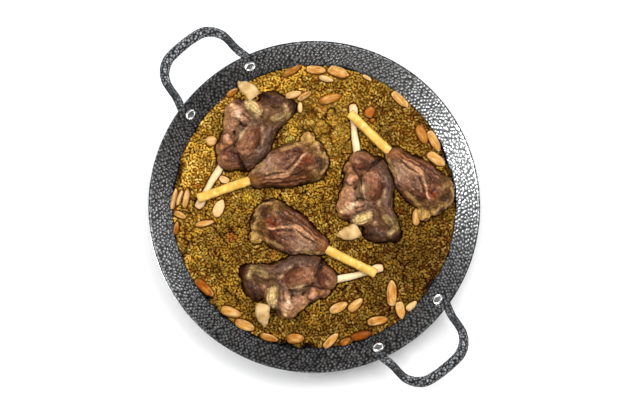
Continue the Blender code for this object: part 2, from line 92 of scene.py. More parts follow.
def wall_radius(height):
    return FLOOR_RADIUS + (MOUTH_RADIUS - FLOOR_RADIUS) * (height - SHEET) / (RIM_HEIGHT - SHEET)


def rings_to_faces(rings, sides):
    """Quads between closed rings of points."""
    low = np.arange(rings - 1)[:, None] * sides
    side = np.arange(sides)
    after = (side + 1) % sides
    quads = np.stack([low + side, low + after, low + sides + after, low + sides + side], -1)
    return quads.reshape(-1, 4).tolist()


def closed_rings(points):
    """Points and faces of a closed tube through rings of points, (rings, sides, 3)."""
    rings, sides, _ = points.shape
    faces = rings_to_faces(rings, sides)
    ends = np.stack([points[0].mean(0), points[-1].mean(0)])
    first, last = rings * sides, rings * sides + 1
    for side in range(sides):
        after = (side + 1) % sides
        faces.append([first, after, side])
        faces.append([last, first - sides + side, first - sides + after])
    return np.concatenate([points.reshape(-1, 3), ends]), faces


def with_ends(values):
    """Values at the points of rings, and then at the two ends that closed_rings adds."""
    return np.concatenate([values.reshape(-1, values.shape[-1]), values[[0, -1], 0]])


def repeated(faces, size, count):
    """Faces of that many equal meshes, each with size points."""
    return [[corner + size * number for corner in face]
            for number in range(count) for face in faces]


def circle(radius, height, angle):
    """Points round the Z axis at those angles."""
    place = radius * np.cos(angle), radius * np.sin(angle), height
    return np.stack(np.broadcast_arrays(*place), -1)


def own_axes(x, y, turn):
    """Distances along and across a thing that is turned by an angle."""
    cosine, sine = math.cos(turn), math.sin(turn)
    return x * cosine + y * sine, y * cosine - x * sine


def moved(points, matrix):
    """Points taken through a matrix."""
    matrix = np.array(matrix)
    return points @ matrix[:3, :3].T + matrix[:3, 3]


def piece(name, points, faces, material, replaced, tint):
    """A finished piece of the part in the colours of its tint: points in millimetres, faces
    pointing out."""
    mesh = bpy.data.meshes.new(name)
    mesh.from_pydata((np.asarray(points, float) * MM).tolist(), [], faces)
    mesh.update()
    if signed_volume(mesh) < 0:
        mesh.flip_normals()
    colours = np.ones((len(points), 4))
    colours[:, :tint.shape[1]] = tint
    layer = mesh.attributes.new("tint", "FLOAT_COLOR", "POINT")
    layer.data.foreach_set("color", colours.ravel())
    mesh.shade_smooth()
    mesh.materials.append(material)
    obj = bpy.data.objects.new(name, mesh)
    bpy.context.collection.objects.link(obj)
    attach(obj, "root")
    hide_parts(*replaced)
    return obj


def body(node, points, faces, material, slot, tint):
    """The one piece that replaces a node."""
    return piece(f"{node}_body", points, faces, material, [node], tint)


def signed_volume(mesh):
    mesh.calc_loop_triangles()
    corners = np.empty(len(mesh.loop_triangles) * 3, int)
    mesh.loop_triangles.foreach_get("vertices", corners)
    places = np.empty(len(mesh.vertices) * 3)
    mesh.vertices.foreach_get("co", places)
    one, two, three = places.reshape(-1, 3)[corners].reshape(-1, 3, 3).transpose(1, 0, 2)
    return np.einsum("ij,ij->", one, np.cross(two, three))


# ---------------------------------------------------------------- uneven surfaces and colours

UNEVEN = np.random.default_rng(3).uniform(-1, 1, (32, 32, 32))


def uneven(points, size, seed=0):
    """Smooth noise between -1 and 1 at the points, with bumps of that size on each axis."""
    spot = points / np.asarray(size, float) + 7.31 * seed
    base = np.floor(spot).astype(int)
    part = spot - base
    part = part * part * (3 - 2 * part)
    total = np.zeros(points.shape[:-1])
    for corner in itertools.product((0, 1), repeat=3):
        weight = np.prod(np.where(corner, part, 1 - part), -1)
        total += weight * UNEVEN[tuple(np.moveaxis((base + corner) % 32, -1, 0))]
    return total


def colour(red, green, blue):
    """A colour as it looks on a screen, 0 to 255, as the values a surface needs."""
    return np.array([((part / 255 + 0.055) / 1.055) ** 2.4 for part in (red, green, blue)])


def blend(one, two, share):
    """From one colour to the other by the share at each point."""
    share = np.clip(share, 0, 1)[..., None]
    return one * (1 - share) + two * share


def layered(first, *layers):
    """The first colour with others laid over it, each by its share at each point."""
    tint = colour(*first)
    for shade, share in layers:
        tint = blend(tint, colour(*shade), share)
    return tint


def normals_of(points, quads):
    """Unit normals at the points of a mesh of quads."""
    corner = points[quads]
    facing = np.cross(corner[:, 2] - corner[:, 0], corner[:, 3] - corner[:, 1])
    total = np.zeros_like(points)
    for side in range(4):
        np.add.at(total, quads[:, side], facing)
    return total / (np.linalg.norm(total, axis=1)[:, None] + 1e-12)


def near_path(places, path, width):
    """1 on a path through the plan, a half at its width, and soon 0 beyond."""
    path = np.array(path, float)
    distance = np.linalg.norm(places - path[0], axis=1)
    for start, end in zip(path[:-1], path[1:]):
        run = end - start
        share = np.clip((places - start) @ run / (run @ run), 0, 1)
        away = np.linalg.norm(places - start - share[:, None] * run, axis=1)
        distance = np.minimum(distance, away)
    return 1 / (1 + np.exp(np.clip((distance - width) / (0.18 * width + 0.22), -50, 50)))


# ---------------------------------------------------------------- materials

class Shader:
    """A node material under construction."""

    def __init__(self, name, **settings):
        self.material = bpy.data.materials.new(name)
        self.material.use_nodes = True
        self.nodes = self.material.node_tree.nodes
        self.links = self.material.node_tree.links
        self.surface = self.nodes["Principled BSDF"]
        for key, value in settings.items():
            self.set(self.surface, key.replace("_", " "), value)

    def set(self, node, socket, value):
        if isinstance(value, bpy.types.NodeSocket):
            self.links.new(value, node.inputs[socket])
        elif isinstance(value, bpy.types.Node):
            self.links.new(value.outputs[0], node.inputs[socket])
        else:
            node.inputs[socket].default_value = value

    def add(self, kind, inputs=None, **settings):
        node = self.nodes.new("ShaderNode" + kind)
        for key, value in settings.items():
            setattr(node, key, value)
        for socket, value in (inputs or {}).items():
            self.set(node, socket, value)
        return node

    def feed(self, socket, value):
        self.set(self.surface, socket, value)

    def noise(self, scale, detail=3.0, roughness=0.55, place=None):
        place = place or self.add("TexCoord").outputs["Object"]
        return self.add("TexNoise", {"Vector": place, "Scale": scale, "Detail": detail,
                                     "Roughness": roughness})

    def span(self, value, low, high, to_low, to_high):
        return self.add("MapRange", {"Value": value, "From Min": low, "From Max": high,
                                     "To Min": to_low, "To Max": to_high})

    def vary(self, noise, low, high):
        """From low to high with a noise, which lies between 0.3 and 0.7 for the most part."""
        return self.span(noise, 0.3, 0.7, low, high)

    def mix(self, share, one, two, blend="MIX"):
        node = self.add("Mix", data_type="RGBA", blend_type=blend)
        for socket, value in ((0, share), (6, one), (7, two)):
            if isinstance(value, tuple) and len(value) == 3:
                value = (*value, 1.0)
            self.set(node, socket, value)
        return node.outputs[2]

    def bump(self, height, distance, strength=1.0, under=None):
        inputs = {"Height": height, "Distance": distance, "Strength": strength}
        if under is not None:
            inputs["Normal"] = under
        return self.add("Bump", inputs)

    def paint(self, noise, low, high):
        """The mesh's own colours times a noise, as the base colour."""
        own = self.add("Attribute", attribute_name="tint")
        shade = self.vary(noise, low, high)
        self.feed("Base Color", self.mix(1.0, own.outputs["Color"], shade, "MULTIPLY"))
        return own


def cloudy(name, noise, shades, polish, relief, fine=None, **settings):
    """A material whose shade, roughness and height vary with one noise. A fine noise may
    roughen it further."""
    shader = Shader(name, **settings)
    cloud = shader.noise(*noise)
    shader.paint(cloud, *shades)
    shader.feed("Roughness", shader.vary(cloud, *polish))
    normal = shader.bump(cloud, 0.0003, relief)
    if fine:
        normal = shader.bump(shader.noise(*fine), 0.0001, relief, normal)
    shader.feed("Normal", normal)
    return shader.material


def dark_steel(name):
    """Blackened steel in its own shades, slightly uneven in polish, with fine scratches."""
    shader = Shader(name, IOR=1.45, Specular_Tint=(0.97, 0.99, 1.0, 1.0))
    own = shader.paint(shader.noise(60, 4.0), 0.75, 1.25)
    grime = shader.noise(420)
    shader.feed("Specular IOR Level", shader.span(own.outputs["Alpha"], 0, 1, 0.0, 0.36))
    shader.feed("Roughness", shader.vary(grime, 0.28, 0.44))
    shader.feed("Normal", shader.bump(grime, 0.00003, 0.35))
    return shader.material


def bright_steel(name):
    """Polished steel in its own shades."""
    shader = Shader(name, Metallic=0.3, Roughness=0.36)
    grime = shader.noise(420)
    shader.paint(grime, 0.8, 1.2)
    shader.feed("Normal", shader.bump(grime, 0.00003, 0.4))
    return shader.material


# ---------------------------------------------------------------- hammered steel

DARK_STEEL = np.array((0.0050, 0.0052, 0.0055))
GLINT_STEEL = np.array((0.127, 0.130, 0.136))     # painted highlight in the middle of a mark
PLAIN_GLOSS = 0.36              # between the marks, of the gloss in their middle
# The marks repeat after MARK_ROWS rows, and differ in place, size, lean and the tone of their
# painted highlight.
MARK_ROWS = 80
MARK_JITTER = 0.26
MARK_SIZES = (0.8, 1.25)
MARK_TONES = (0.35, 1.3)
MARK_LEAN = 0.45
MARK_RISES = (0.62, 1.6)        # how steeply a mark rises along and across
ROW_BEND = 0.7                  # how far the rows wander, in marks
GLINT_REACH = 0.22               # of the painted highlight in the middle of a mark, squared
GLOSS_REACH = 0.3
DIMPLE = 4.3                    # from one hammer mark to the next
DIMPLE_RISE = 2.0               # height of the surface one whole dimple from its middle
RELIEF_LIMIT = 0.55
RELIEF_MIDDLE = 0.36            # the height of the relief that lies on the plain wall
RIM_FADE = 1.5                  # the relief fades out over this length below the rim
FOOT_SHADE_HEIGHT = 17.3            # up to here the inner wall is painted darker and duller: painted shade where it meets the food
PAN_SIDES = 1300
PAN_COLUMNS = 244               # marks in each row round the pan
OUTER_RINGS = 22
INNER_RINGS = 44


def hammered(along, around, columns, seed):
    """Height of a hammered surface in millimetres, 0 at the middle of a mark, its colour with
    a painted highlight in the middle of each mark, and its gloss. A point is given by its
    distance along, in marks, and its share of the way around."""
    draw = np.random.default_rng(seed)
    lattice = (MARK_ROWS, columns)
    jitter = draw.uniform(-MARK_JITTER, MARK_JITTER, (2, *lattice))
    size = draw.uniform(*MARK_SIZES, lattice)
    tone = draw.uniform(*MARK_TONES, lattice)
    lean = draw.uniform(-MARK_LEAN, MARK_LEAN, lattice)
    angle = math.tau * around
    spots = np.stack((np.cos(angle) * columns / math.tau, np.sin(angle) * columns / math.tau,
                      along), -1)
    along = along + ROW_BEND * uneven(spots, 5, seed)
    turn = around * columns + ROW_BEND * uneven(spots, 5, seed + 1)
    row = np.floor(along).astype(int)
    nearest, strength = np.full(along.shape, np.inf), np.zeros(along.shape)
    for step in range(-1, 3):
        line = row + step
        shift = 0.5 * (line % 2)
        column = np.floor(turn - shift).astype(int)
        for beside in range(-1, 3):
            spot = column + beside
            index = (line % MARK_ROWS, spot % columns)
            down = along - (line + jitter[0][index])
            across = turn - (spot + shift + jitter[1][index])
            slant, aside = down + lean[index] * across, across - lean[index] * down
            away = (MARK_RISES[0] * slant ** 2 + MARK_RISES[1] * aside ** 2) * size[index]
            strength = np.where(away < nearest, tone[index], strength)
            nearest = np.minimum(nearest, away)
    # Painted highlight: each mark is painted light in its middle, as bright as its tone.
    glint = (np.clip(1 - nearest / GLINT_REACH, 0, 1) ** 1.8 * strength)[..., None]
    shade = DARK_STEEL + (GLINT_STEEL - DARK_STEEL) * glint
    gloss = PLAIN_GLOSS + (1 - PLAIN_GLOSS) * np.clip(1.1 - nearest / GLOSS_REACH, 0, 1)
    return np.minimum(DIMPLE_RISE * nearest, RELIEF_LIMIT), shade, gloss


def pan():
    """The pan: floor, hammered wall and rim, with small steps round it for the marks."""
    outwards = np.array((WALL_SLOPE[1], -WALL_SLOPE[0]))
    length = WALL_RUN[0] / WALL_SLOPE[0]
    rings = []      # (radius, height), normal or None, distance up the wall, whether outside

    def wall(low, high, count, outside):
        for distance in np.linspace(low, high, count):
            spot = WALL_START + WALL_SLOPE * distance + (outwards * SHEET if outside else 0)
            rings.append((spot, outwards if outside else -outwards, distance, outside))

    def plain(radius, height, outside, distance=0):
        rings.append(((radius, height), None, distance, outside))

    floor_edge = FLOOR_RADIUS - FLOOR_FILLET
    plain(floor_edge, 0.0, True)
    plain(FLOOR_RADIUS - 2.0, 1.0, True)
    wall(FLOOR_FILLET, length - 1.2, OUTER_RINGS, True)
    for radius, height in ((RIM_RADIUS - 0.15, RIM_HEIGHT - 0.9),
                           (RIM_RADIUS - 0.1, RIM_HEIGHT - 0.4),
                           (RIM_RADIUS - 0.5, RIM_HEIGHT - 0.05),
                           (MOUTH_RADIUS + 0.6, RIM_HEIGHT - 0.05),
                           (MOUTH_RADIUS + 0.1, RIM_HEIGHT - 0.3)):
        plain(radius, height, True, length + radius - MOUTH_RADIUS)
    wall(length - 0.8, FLOOR_FILLET + 5.0, INNER_RINGS, False)
    plain(*(WALL_START + WALL_SLOPE * FLOOR_FILLET), False)
    plain(FLOOR_RADIUS - 1.8, SHEET + 1.4, False)
    plain(floor_edge, SHEET, False)

    share = np.arange(PAN_SIDES) / PAN_SIDES
    angle = math.tau * share
    shade_wander = uneven(circle(60.0, 0.0, angle), 5, 2)
    points = []
    tint = np.tile((*(1.2 * DARK_STEEL), 0.45), (len(rings), PAN_SIDES, 1))
    for number, ((radius, height), normal, distance, outside) in enumerate(rings):
        if distance > 0:
            along = np.full(PAN_SIDES, distance / DIMPLE)
            marks, shade, gloss = hammered(along, share, PAN_COLUMNS, 7)
            # Painted shade: the inner wall is darker and less glossy low down, where it meets the
            # food.
            foot_shade = np.clip((FOOT_SHADE_HEIGHT - height) / 1.5 + 1.5 * shade_wander, 0, 1)
            unshaded = 1 - (not outside) * foot_shade
            tint[number, :, :3] = shade * (0.2 + 0.8 * unshaded)[:, None]
            tint[number, :, 3] = unshaded * gloss
        if normal is not None:
            push = (marks - RELIEF_MIDDLE) * min(1.0, (length - distance) / RIM_FADE)
            radius, height = radius + normal[0] * push, height + normal[1] * push
        points.append(circle(radius, height, angle))
    steel.objects.link(body("pan", *closed_rings(np.array(points)), dark_steel("pan_steel"),
                            "pan_steel", with_ends(tint)))


# ---------------------------------------------------------------- handles and rivets

BAR_HALF = (5.8, 3.1)
LEG_HALF = (4.6, 2.6)
TAB_HALF = (7.5, 0.5 * TAB_THICKNESS)
HANDLE_MARK = 3.0               # from one hammer mark to the next
HANDLE_COLUMNS = 10             # marks round the bar
HANDLE_SIDES = 40
BAR_START = 214.0               # the legs are smooth between the rim and here
RIM_END = 197.5
MARK_FADE = 2.5
RIVET_SIDES = 40


def smooth_path(rings, step):
    """Rings of (place, half width, half thickness) drawn through the given ones by a
    Catmull-Rom curve, about a step apart."""
    keys = np.array([[*spot, *half] for spot, half in rings])
    padded = np.concatenate([[2 * keys[0] - keys[1]], keys, [2 * keys[-1] - keys[-2]]])
    result = []
    for number in range(len(keys) - 1):
        before, start, end, after = padded[number:number + 4]
        count = max(1, round(float(np.linalg.norm(end[:3] - start[:3])) / step))
        for share in np.arange(count) / count:
            result.append(0.5 * (2 * start + (end - before) * share
                                 + (2 * before - 5 * start + 4 * end - after) * share ** 2
                                 + (3 * start - before - 3 * end + after) * share ** 3))
    result.append(keys[-1])
    return np.array(result)


def swept(path, sides, roundness=1.0, relief=0.0):
    """Rings of points round a smooth path. A roundness below 1 squares the section, and
    the relief is how far the surface stands out at each point."""
    middle, halves = path[:, :3], path[:, 3:]
    along = np.gradient(middle, axis=0)
    along /= np.linalg.norm(along, axis=1)[:, None]
    across = np.cross(along, (0, 0, 1))
    across /= np.linalg.norm(across, axis=1)[:, None]
    lift = np.cross(across, along)
    share = (np.arange(sides) + 0.5) / sides
    wide, high = np.cos(math.tau * share), np.sin(math.tau * share)
    wide = np.sign(wide) * np.abs(wide) ** roundness
    high = np.sign(high) * np.abs(high) ** roundness
    offset = (across[:, None] * (wide * halves[:, :1])[..., None]
              + lift[:, None] * (high * halves[:, 1:])[..., None])
    outwards = offset / np.linalg.norm(offset, axis=2)[..., None]
    return middle[:, None] + offset + outwards * np.broadcast_to(relief, offset.shape[:2])[..., None]


def handle(name, turn, material):
    """One handle: tab up the wall, out past the rim, round the hammered bar and back."""
    away = (SHEET + TAB_GAP + 0.5 * TAB_THICKNESS) / WALL_SLOPE[1]

    def on_wall(height, lifted=0.0):
        radius = wall_radius(height) + away + lifted
        return radius * math.cos(RIVET_TURN), radius * math.sin(RIVET_TURN), height

    half = [
        (on_wall(28.0), (5.0, 1.4)),
        (on_wall(30.5), TAB_HALF),
        (on_wall(39.5), (7.0, 1.5)),
        (on_wall(43.2, 1.2), (4.8, 1.8)),
        ((191.5, 45.2, 45.6), (4.7, 2.2)),
        ((199.0, 43.9, 47.0), LEG_HALF),
        ((208.0, 43.4, 47.6), LEG_HALF),
        ((217.5, 41.9, 48.0), (4.9, 2.7)),
        ((226.5, 37.0, 48.2), (5.3, 2.9)),
        ((233.0, 29.6, 48.4), BAR_HALF),
        ((236.6, 20.0, 48.5), BAR_HALF),
    ]
    rings = half + [((237.9, 0.0, 48.6), BAR_HALF)]
    rings += [((x, -y, z), size) for (x, y, z), size in reversed(half)]
    path = smooth_path(rings, 0.8)
    steps = np.linalg.norm(np.diff(path[:, :3], axis=0), axis=1)
    distance = np.concatenate([[0], np.cumsum(steps)])[:, None]
    share = (np.arange(HANDLE_SIDES)[None] + 0.5) / HANDLE_SIDES
    marks, shade, gloss = hammered(*np.broadcast_arrays(distance / HANDLE_MARK, share),
                                   HANDLE_COLUMNS, 21)
    bar = np.clip((path[:, 0] - BAR_START) / MARK_FADE, 0, 1)[:, None]
    near_rim = np.clip((RIM_END - path[:, 0]) / MARK_FADE, 0, 1)[:, None]
    marked = np.maximum(bar, 0.7 * near_rim)
    relief = 0.8 * (marks - 0.25) * marked
    relief += 0.06 * np.sin(distance / 2.3) * np.cos(math.tau * share + distance / 6)
    # Painted highlight: on the bar the marks' painted highlights are brightened further; the smooth
    # legs stay mostly plain dark.
    tint = blend(3 * DARK_STEEL, 3.3 * shade - DARK_STEEL, 0.2 + 0.8 * marked)
    tint = with_ends(np.dstack((tint, 0.75 * gloss)))
    points, faces = closed_rings(swept(path, HANDLE_SIDES, 0.75, relief))
    points = moved(points, Matrix.Rotation(turn, 4, "Z"))
    body(name, points, faces, material, "handle_steel", tint)


def turned(profile, sides, matrix):
    """Points and faces of a profile of (radius, height) turned about Z, then placed."""
    angle = math.tau * np.arange(sides) / sides
    points, faces = closed_rings(np.array([circle(*spot, angle) for spot in profile]))
    return moved(points, matrix), faces


def rivets():
    """The four rivets: a polished head with a sunk middle inside, a low one outside."""
    radius = wall_radius(RIVET_HEIGHT)
    tilt = Matrix.Rotation(-math.atan2(WALL_SLOPE[1], WALL_SLOPE[0]), 4, "Y")
    under = 0.5
    outer = -(SHEET + TAB_GAP + TAB_THICKNESS) - under
    profile = [(1.0, outer - 2.2), (3.0, outer - 2.0), (4.4, outer - 1.2), (5.0, outer - 0.3),
               (4.9, outer), (3.0, outer), (3.0, under), (6.2, under - 0.1), (6.6, under + 0.6),
               (6.5, under + 1.8), (6.2, under + 2.8), (5.8, under + 3.4), (5.4, under + 3.5),
               (5.0, under + 3.3), (4.7, under + 2.8), (4.3, under + 2.5), (1.0, under + 2.6)]
    # Painted reflection: a light ring round the top of the head and a dark middle inside it.
    tone = [0.3] * 7 + [0.08, 0.12, 0.16, 0.24, 0.4, 0.5, 0.4, 0.2, 0.1, 0.1]
    tint = np.append(np.repeat(tone, RIVET_SIDES), (0.3, 0.1))[:, None] * np.ones(3)
    material = bright_steel("rivet_steel")
    for number, (handle_side, side) in enumerate(itertools.product((0, 1), (-1, 1))):
        spot = Matrix.Translation((radius, 0, RIVET_HEIGHT))
        turn = Matrix.Rotation(handle_side * math.pi + side * RIVET_TURN, 4, "Z")
        points, faces = turned(profile, RIVET_SIDES, turn @ spot @ tilt)
        steel.objects.link(body(f"rivet_{number + 1}", points, faces, material, "rivet_steel",
                                tint))


# ---------------------------------------------------------------- lamb

PAIR_CENTRE = (265.0, 150.0)
PAIR_LEVEL = 34.0
PAIRS = {
    "a": ((265.0, 150.0), 0.0, False),
    "b": ((390.4, 185.3), -24.96, True),
    "c": ((294.1, 259.7), 134.45, False),
}
# Lumps: place, (half length, half width), (height, half height), turn.
KNUCKLE = (
    ((238, 113), (14.0, 13.5), (29, 17), 0),
    ((232, 123), (9.0, 10.0), (26, 13), 0),
    ((247, 143), (13.5, 18.0), (29, 18), -18),
    ((227, 138), (6.5, 8.5), (23, 12), 0),
    ((221, 149), (5.5, 7.0), (20, 10), 0),
    ((231, 148), (8.0, 8.5), (23, 13), 0),
    ((229, 160), (11.5, 10.5), (25, 15), 0),
    ((246, 162), (10.0, 9.0), (22, 13), 0),
    ((269, 133), (6.5, 16.0), (25, 14), -22),
    ((259, 153), (7.0, 13.0), (24, 13.5), -40),
    ((276, 119), (13.0, 8.5), (27, 15), 25),
    ((276, 101), (17.0, 7.5), (23, 13), -22),
    ((290, 108), (5.5, 6.5), (20, 11), -20),
    ((256, 109), (4.5, 11.0), (33, 11), 40),
    ((265, 107), (7.0, 7.0), (23, 12), 0),
    ((252, 122), (16.0, 16.0), (24, 14), 0),
)
SHANK = (
    ((288, 163), (27.0, 17.0), (29, 17.5), 14),
    ((312, 163), (17.0, 18.5), (27, 16), 0),
    ((262, 174), (13.0, 10.0), (27, 13), 20),
    ((257, 180), (8.0, 7.0), (25, 11), 0),
    ((285, 177), (26.0, 10.5), (25, 14), 4),
    ((291, 150), (12.0, 7.0), (26, 12), 20),
    ((308, 138), (7.0, 6.0), (22, 7), 60),
    ((315, 147), (8.0, 6.0), (24, 9), -20),
)
MELT = 2.2                      # how softly lumps flow into one another
MEAT_APART = 2.6                # between the two pieces of a pair
MEAT_CELL = 0.85
MEAT_LOW, MEAT_HIGH = ((205, 200), 2.0), ((340, 85), 56.0)     # place and height
STEEPNESS = 2.4                 # of the sides of a lump below its middle
FIBRE_STEP = 40.0               # sets the fibres of each lump apart
# For each kind: its shade, and the places that are fatty and that carry painted glints, with their
# reach.
MEAT_SHADE = {"knuckle": (0.52, 0.485, 0.425), "shank": (0.53, 0.47, 0.375)}
FATTY = {"knuckle": ((284, 112), 8.0), "shank": ((318, 158), 15.0)}
GLINTED = {"knuckle": ((243, 133), 9.0), "shank": ((284, 161), 15.0)}
# Marks on the upper side: path in the plan, half width, rise in millimetres, colour. Besides the
# meat's own colours, the colours hold painted highlights on ridges and lit slopes, and painted shade
# in creases, grooves and holes.
KNUCKLE_MARKS = (
    (((229, 107), (227, 118), (228, 129)), 7.0, 0.0, (204, 150, 112)),
    (((240, 107), (247, 115)), 7.0, 0.0, (178, 128, 102)),
    (((223.5, 109), (223, 126)), 1.8, 0.0, (206, 152, 98)),
    (((233, 121), (234, 127)), 4.0, 0.0, (192, 142, 114)),
    (((231, 103), (233, 108)), 2.6, 0.0, (214, 160, 108)),
    (((235, 108), (238, 114), (243, 119)), 3.4, 0.4, (214, 172, 140)),
    (((232, 106), (235, 111)), 1.2, 0.3, (232, 190, 140)),
    (((237, 112), (239, 117)), 1.3, 0.5, (240, 212, 184)),
    (((244, 106), (249, 112)), 0.8, -0.9, (100, 56, 36)),
    (((245, 111), (252, 117)), 0.8, -0.9, (84, 46, 32)),
    (((243, 114), (250, 120)), 0.8, -0.9, (88, 48, 34)),
    (((247, 113.5), (252, 118)), 0.6, 0.4, (178, 130, 104)),
    (((243, 116.5), (248, 120.5)), 0.7, 0.4, (188, 140, 112)),
    (((236, 102.5), (241, 104.5)), 1.5, -0.5, (108, 58, 36)),
    (((240, 98), (246, 106), (252, 114), (256, 121)), 1.3, -1.3, (58, 28, 12)),
    (((240, 125), (243, 124.5)), 1.2, -0.8, (84, 52, 32)),
    (((243, 126), (247, 125)), 1.2, -0.6, (84, 52, 32)),
    (((237, 127), (241, 128)), 1.0, -0.4, (110, 70, 50)),
    (((233.4, 131.5), (234, 134)), 1.2, -0.8, (84, 50, 32)),
    (((238, 130), (244, 129), (250, 125), (254, 124)), 3.0, 0.1, (138, 112, 88)),
    (((240.5, 124.6), (243, 126.4), (246.5, 125.2)), 0.9, -1.6, (34, 16, 8)),
    (((239, 121.5), (240.5, 123)), 0.6, -0.8, (66, 36, 20)),
    (((234, 131.4), (234.2, 133.2)), 0.9, -1.6, (34, 16, 8)),
    (((239.5, 138), (243, 134)), 3.2, 0.2, (206, 172, 132)),
    (((240, 137.5), (243, 135)), 1.6, 0.3, (232, 204, 160)),
    (((246, 146), (252, 136)), 7.0, 0.5, (168, 110, 80)),
    (((255, 129), (257, 141)), 3.0, 0.2, (126, 76, 52)),
    (((254, 136), (256, 146), (252, 151)), 2.6, 0.0, (140, 86, 58)),
    (((242, 149), (248, 145)), 3.6, 0.2, (174, 120, 90)),
    (((251, 150), (254, 146)), 2.4, 0.0, (134, 84, 58)),
    (((241, 153), (247, 153)), 2.4, 0.0, (178, 126, 100)),
    (((258.5, 126), (260, 136), (259, 146), (254, 152), (249, 157)), 0.8, -0.9, (104, 60, 40)),
    (((262.5, 128), (264, 134), (263, 142)), 1.8, 0.3, (194, 156, 124)),
    (((269, 126), (269, 138), (265, 149), (257, 158)), 3.6, 0.0, (124, 96, 86)),
    (((273, 124), (272, 134)), 1.4, 0.0, (112, 84, 62)),
    (((251, 153), (256, 150), (259, 152)), 0.8, 0.3, (184, 150, 124)),
    (((253, 156), (259, 155)), 0.7, 0.3, (142, 110, 86)),
    (((250, 158), (254, 161)), 1.0, 0.1, (170, 130, 106)),
    (((264, 116), (271, 121), (268, 124)), 3.2, 0.1, (128, 92, 58)),
    (((276, 118), (284, 116), (288, 113)), 4.2, 0.2, (168, 142, 92)),
    (((276, 123), (283, 124)), 2.0, 0.0, (128, 98, 74)),
    (((261, 98), (275, 100), (291, 105)), 6.6, 0.3, (104, 64, 42)),
    (((266, 101), (278, 101)), 3.0, 0.2, (116, 80, 62)),
    (((259, 92), (264, 95), (269, 97)), 1.9, -0.2, (52, 24, 12)),
    (((273, 95), (284, 98)), 2.0, 0.2, (116, 82, 58)),
    (((289, 98), (294, 104), (296, 110)), 2.6, 0.0, (72, 36, 20)),
    (((266, 107), (272, 106), (282, 106)), 2.2, 0.2, (124, 86, 60)),
    (((285, 106), (286, 109)), 2.4, 0.5, (200, 172, 124)),
    (((289, 113), (290, 117)), 1.6, 0.2, (194, 166, 106)),
    (((265, 110.5), (267, 110)), 1.3, 0.4, (204, 162, 132)),
    (((271, 110), (278, 113)), 3.0, 0.1, (152, 114, 80)),
    (((249.5, 102), (254, 107.5), (258.5, 113)), 4.6, 0.7, (240, 210, 150)),
    (((247, 99), (258, 99.6)), 1.0, -1.4, (58, 32, 14)),
    (((262, 104), (265, 110), (262, 117)), 1.1, -0.5, (120, 72, 40)),
    (((255.5, 101.5), (261, 108)), 1.7, 0.2, (196, 148, 104)),
    (((251, 107), (256, 113)), 1.0, 0.1, (204, 180, 112)),
    (((245.5, 101), (249, 108)), 1.0, 0.4, (238, 212, 158)),
    (((226, 137), (228, 139)), 4.4, 0.5, (204, 152, 124)),
    (((222, 134), (227, 131.5), (231.5, 134), (232, 141)), 0.7, -0.9, (104, 60, 42)),
    (((218, 148), (224, 145), (230, 143)), 3.0, 0.2, (206, 146, 102)),
    (((222, 144.5), (229, 145.5)), 0.6, -0.5, (130, 80, 52)),
    (((217, 155), (221, 151), (228, 147.5), (234, 143), (238, 138)), 1.2, -1.4, (66, 28, 16)),
    (((224, 158), (232, 161)), 7.2, 0.2, (150, 96, 68)),
    (((233, 160), (238, 165)), 3.6, 0.0, (112, 66, 44)),
    (((222, 154), (230, 154)), 2.6, 0.0, (134, 78, 60)),
    (((217.5, 154), (217.5, 162)), 3.4, 0.2, (216, 160, 110)),
    (((222, 158), (226, 157)), 0.9, 0.4, (198, 146, 116)),
    (((222, 164), (230, 166), (236, 166)), 2.4, 0.1, (178, 122, 90)),
    (((224, 160.5), (232, 162)), 0.8, -0.8, (92, 48, 32)),
    (((229, 151), (233, 153), (239, 157)), 1.0, -0.9, (74, 34, 22)),
    (((234, 145.5), (235.5, 147)), 0.8, -0.9, (60, 28, 18)),
    (((237.5, 154), (240, 160), (244, 170)), 1.2, -1.5, (48, 20, 10)),
    (((239, 148), (241, 152)), 2.6, 0.1, (178, 126, 96)),
    (((242, 165), (246, 171)), 2.2, -0.8, (46, 20, 12)),
    (((248, 163), (256, 160)), 3.6, 0.0, (112, 82, 66)),
)
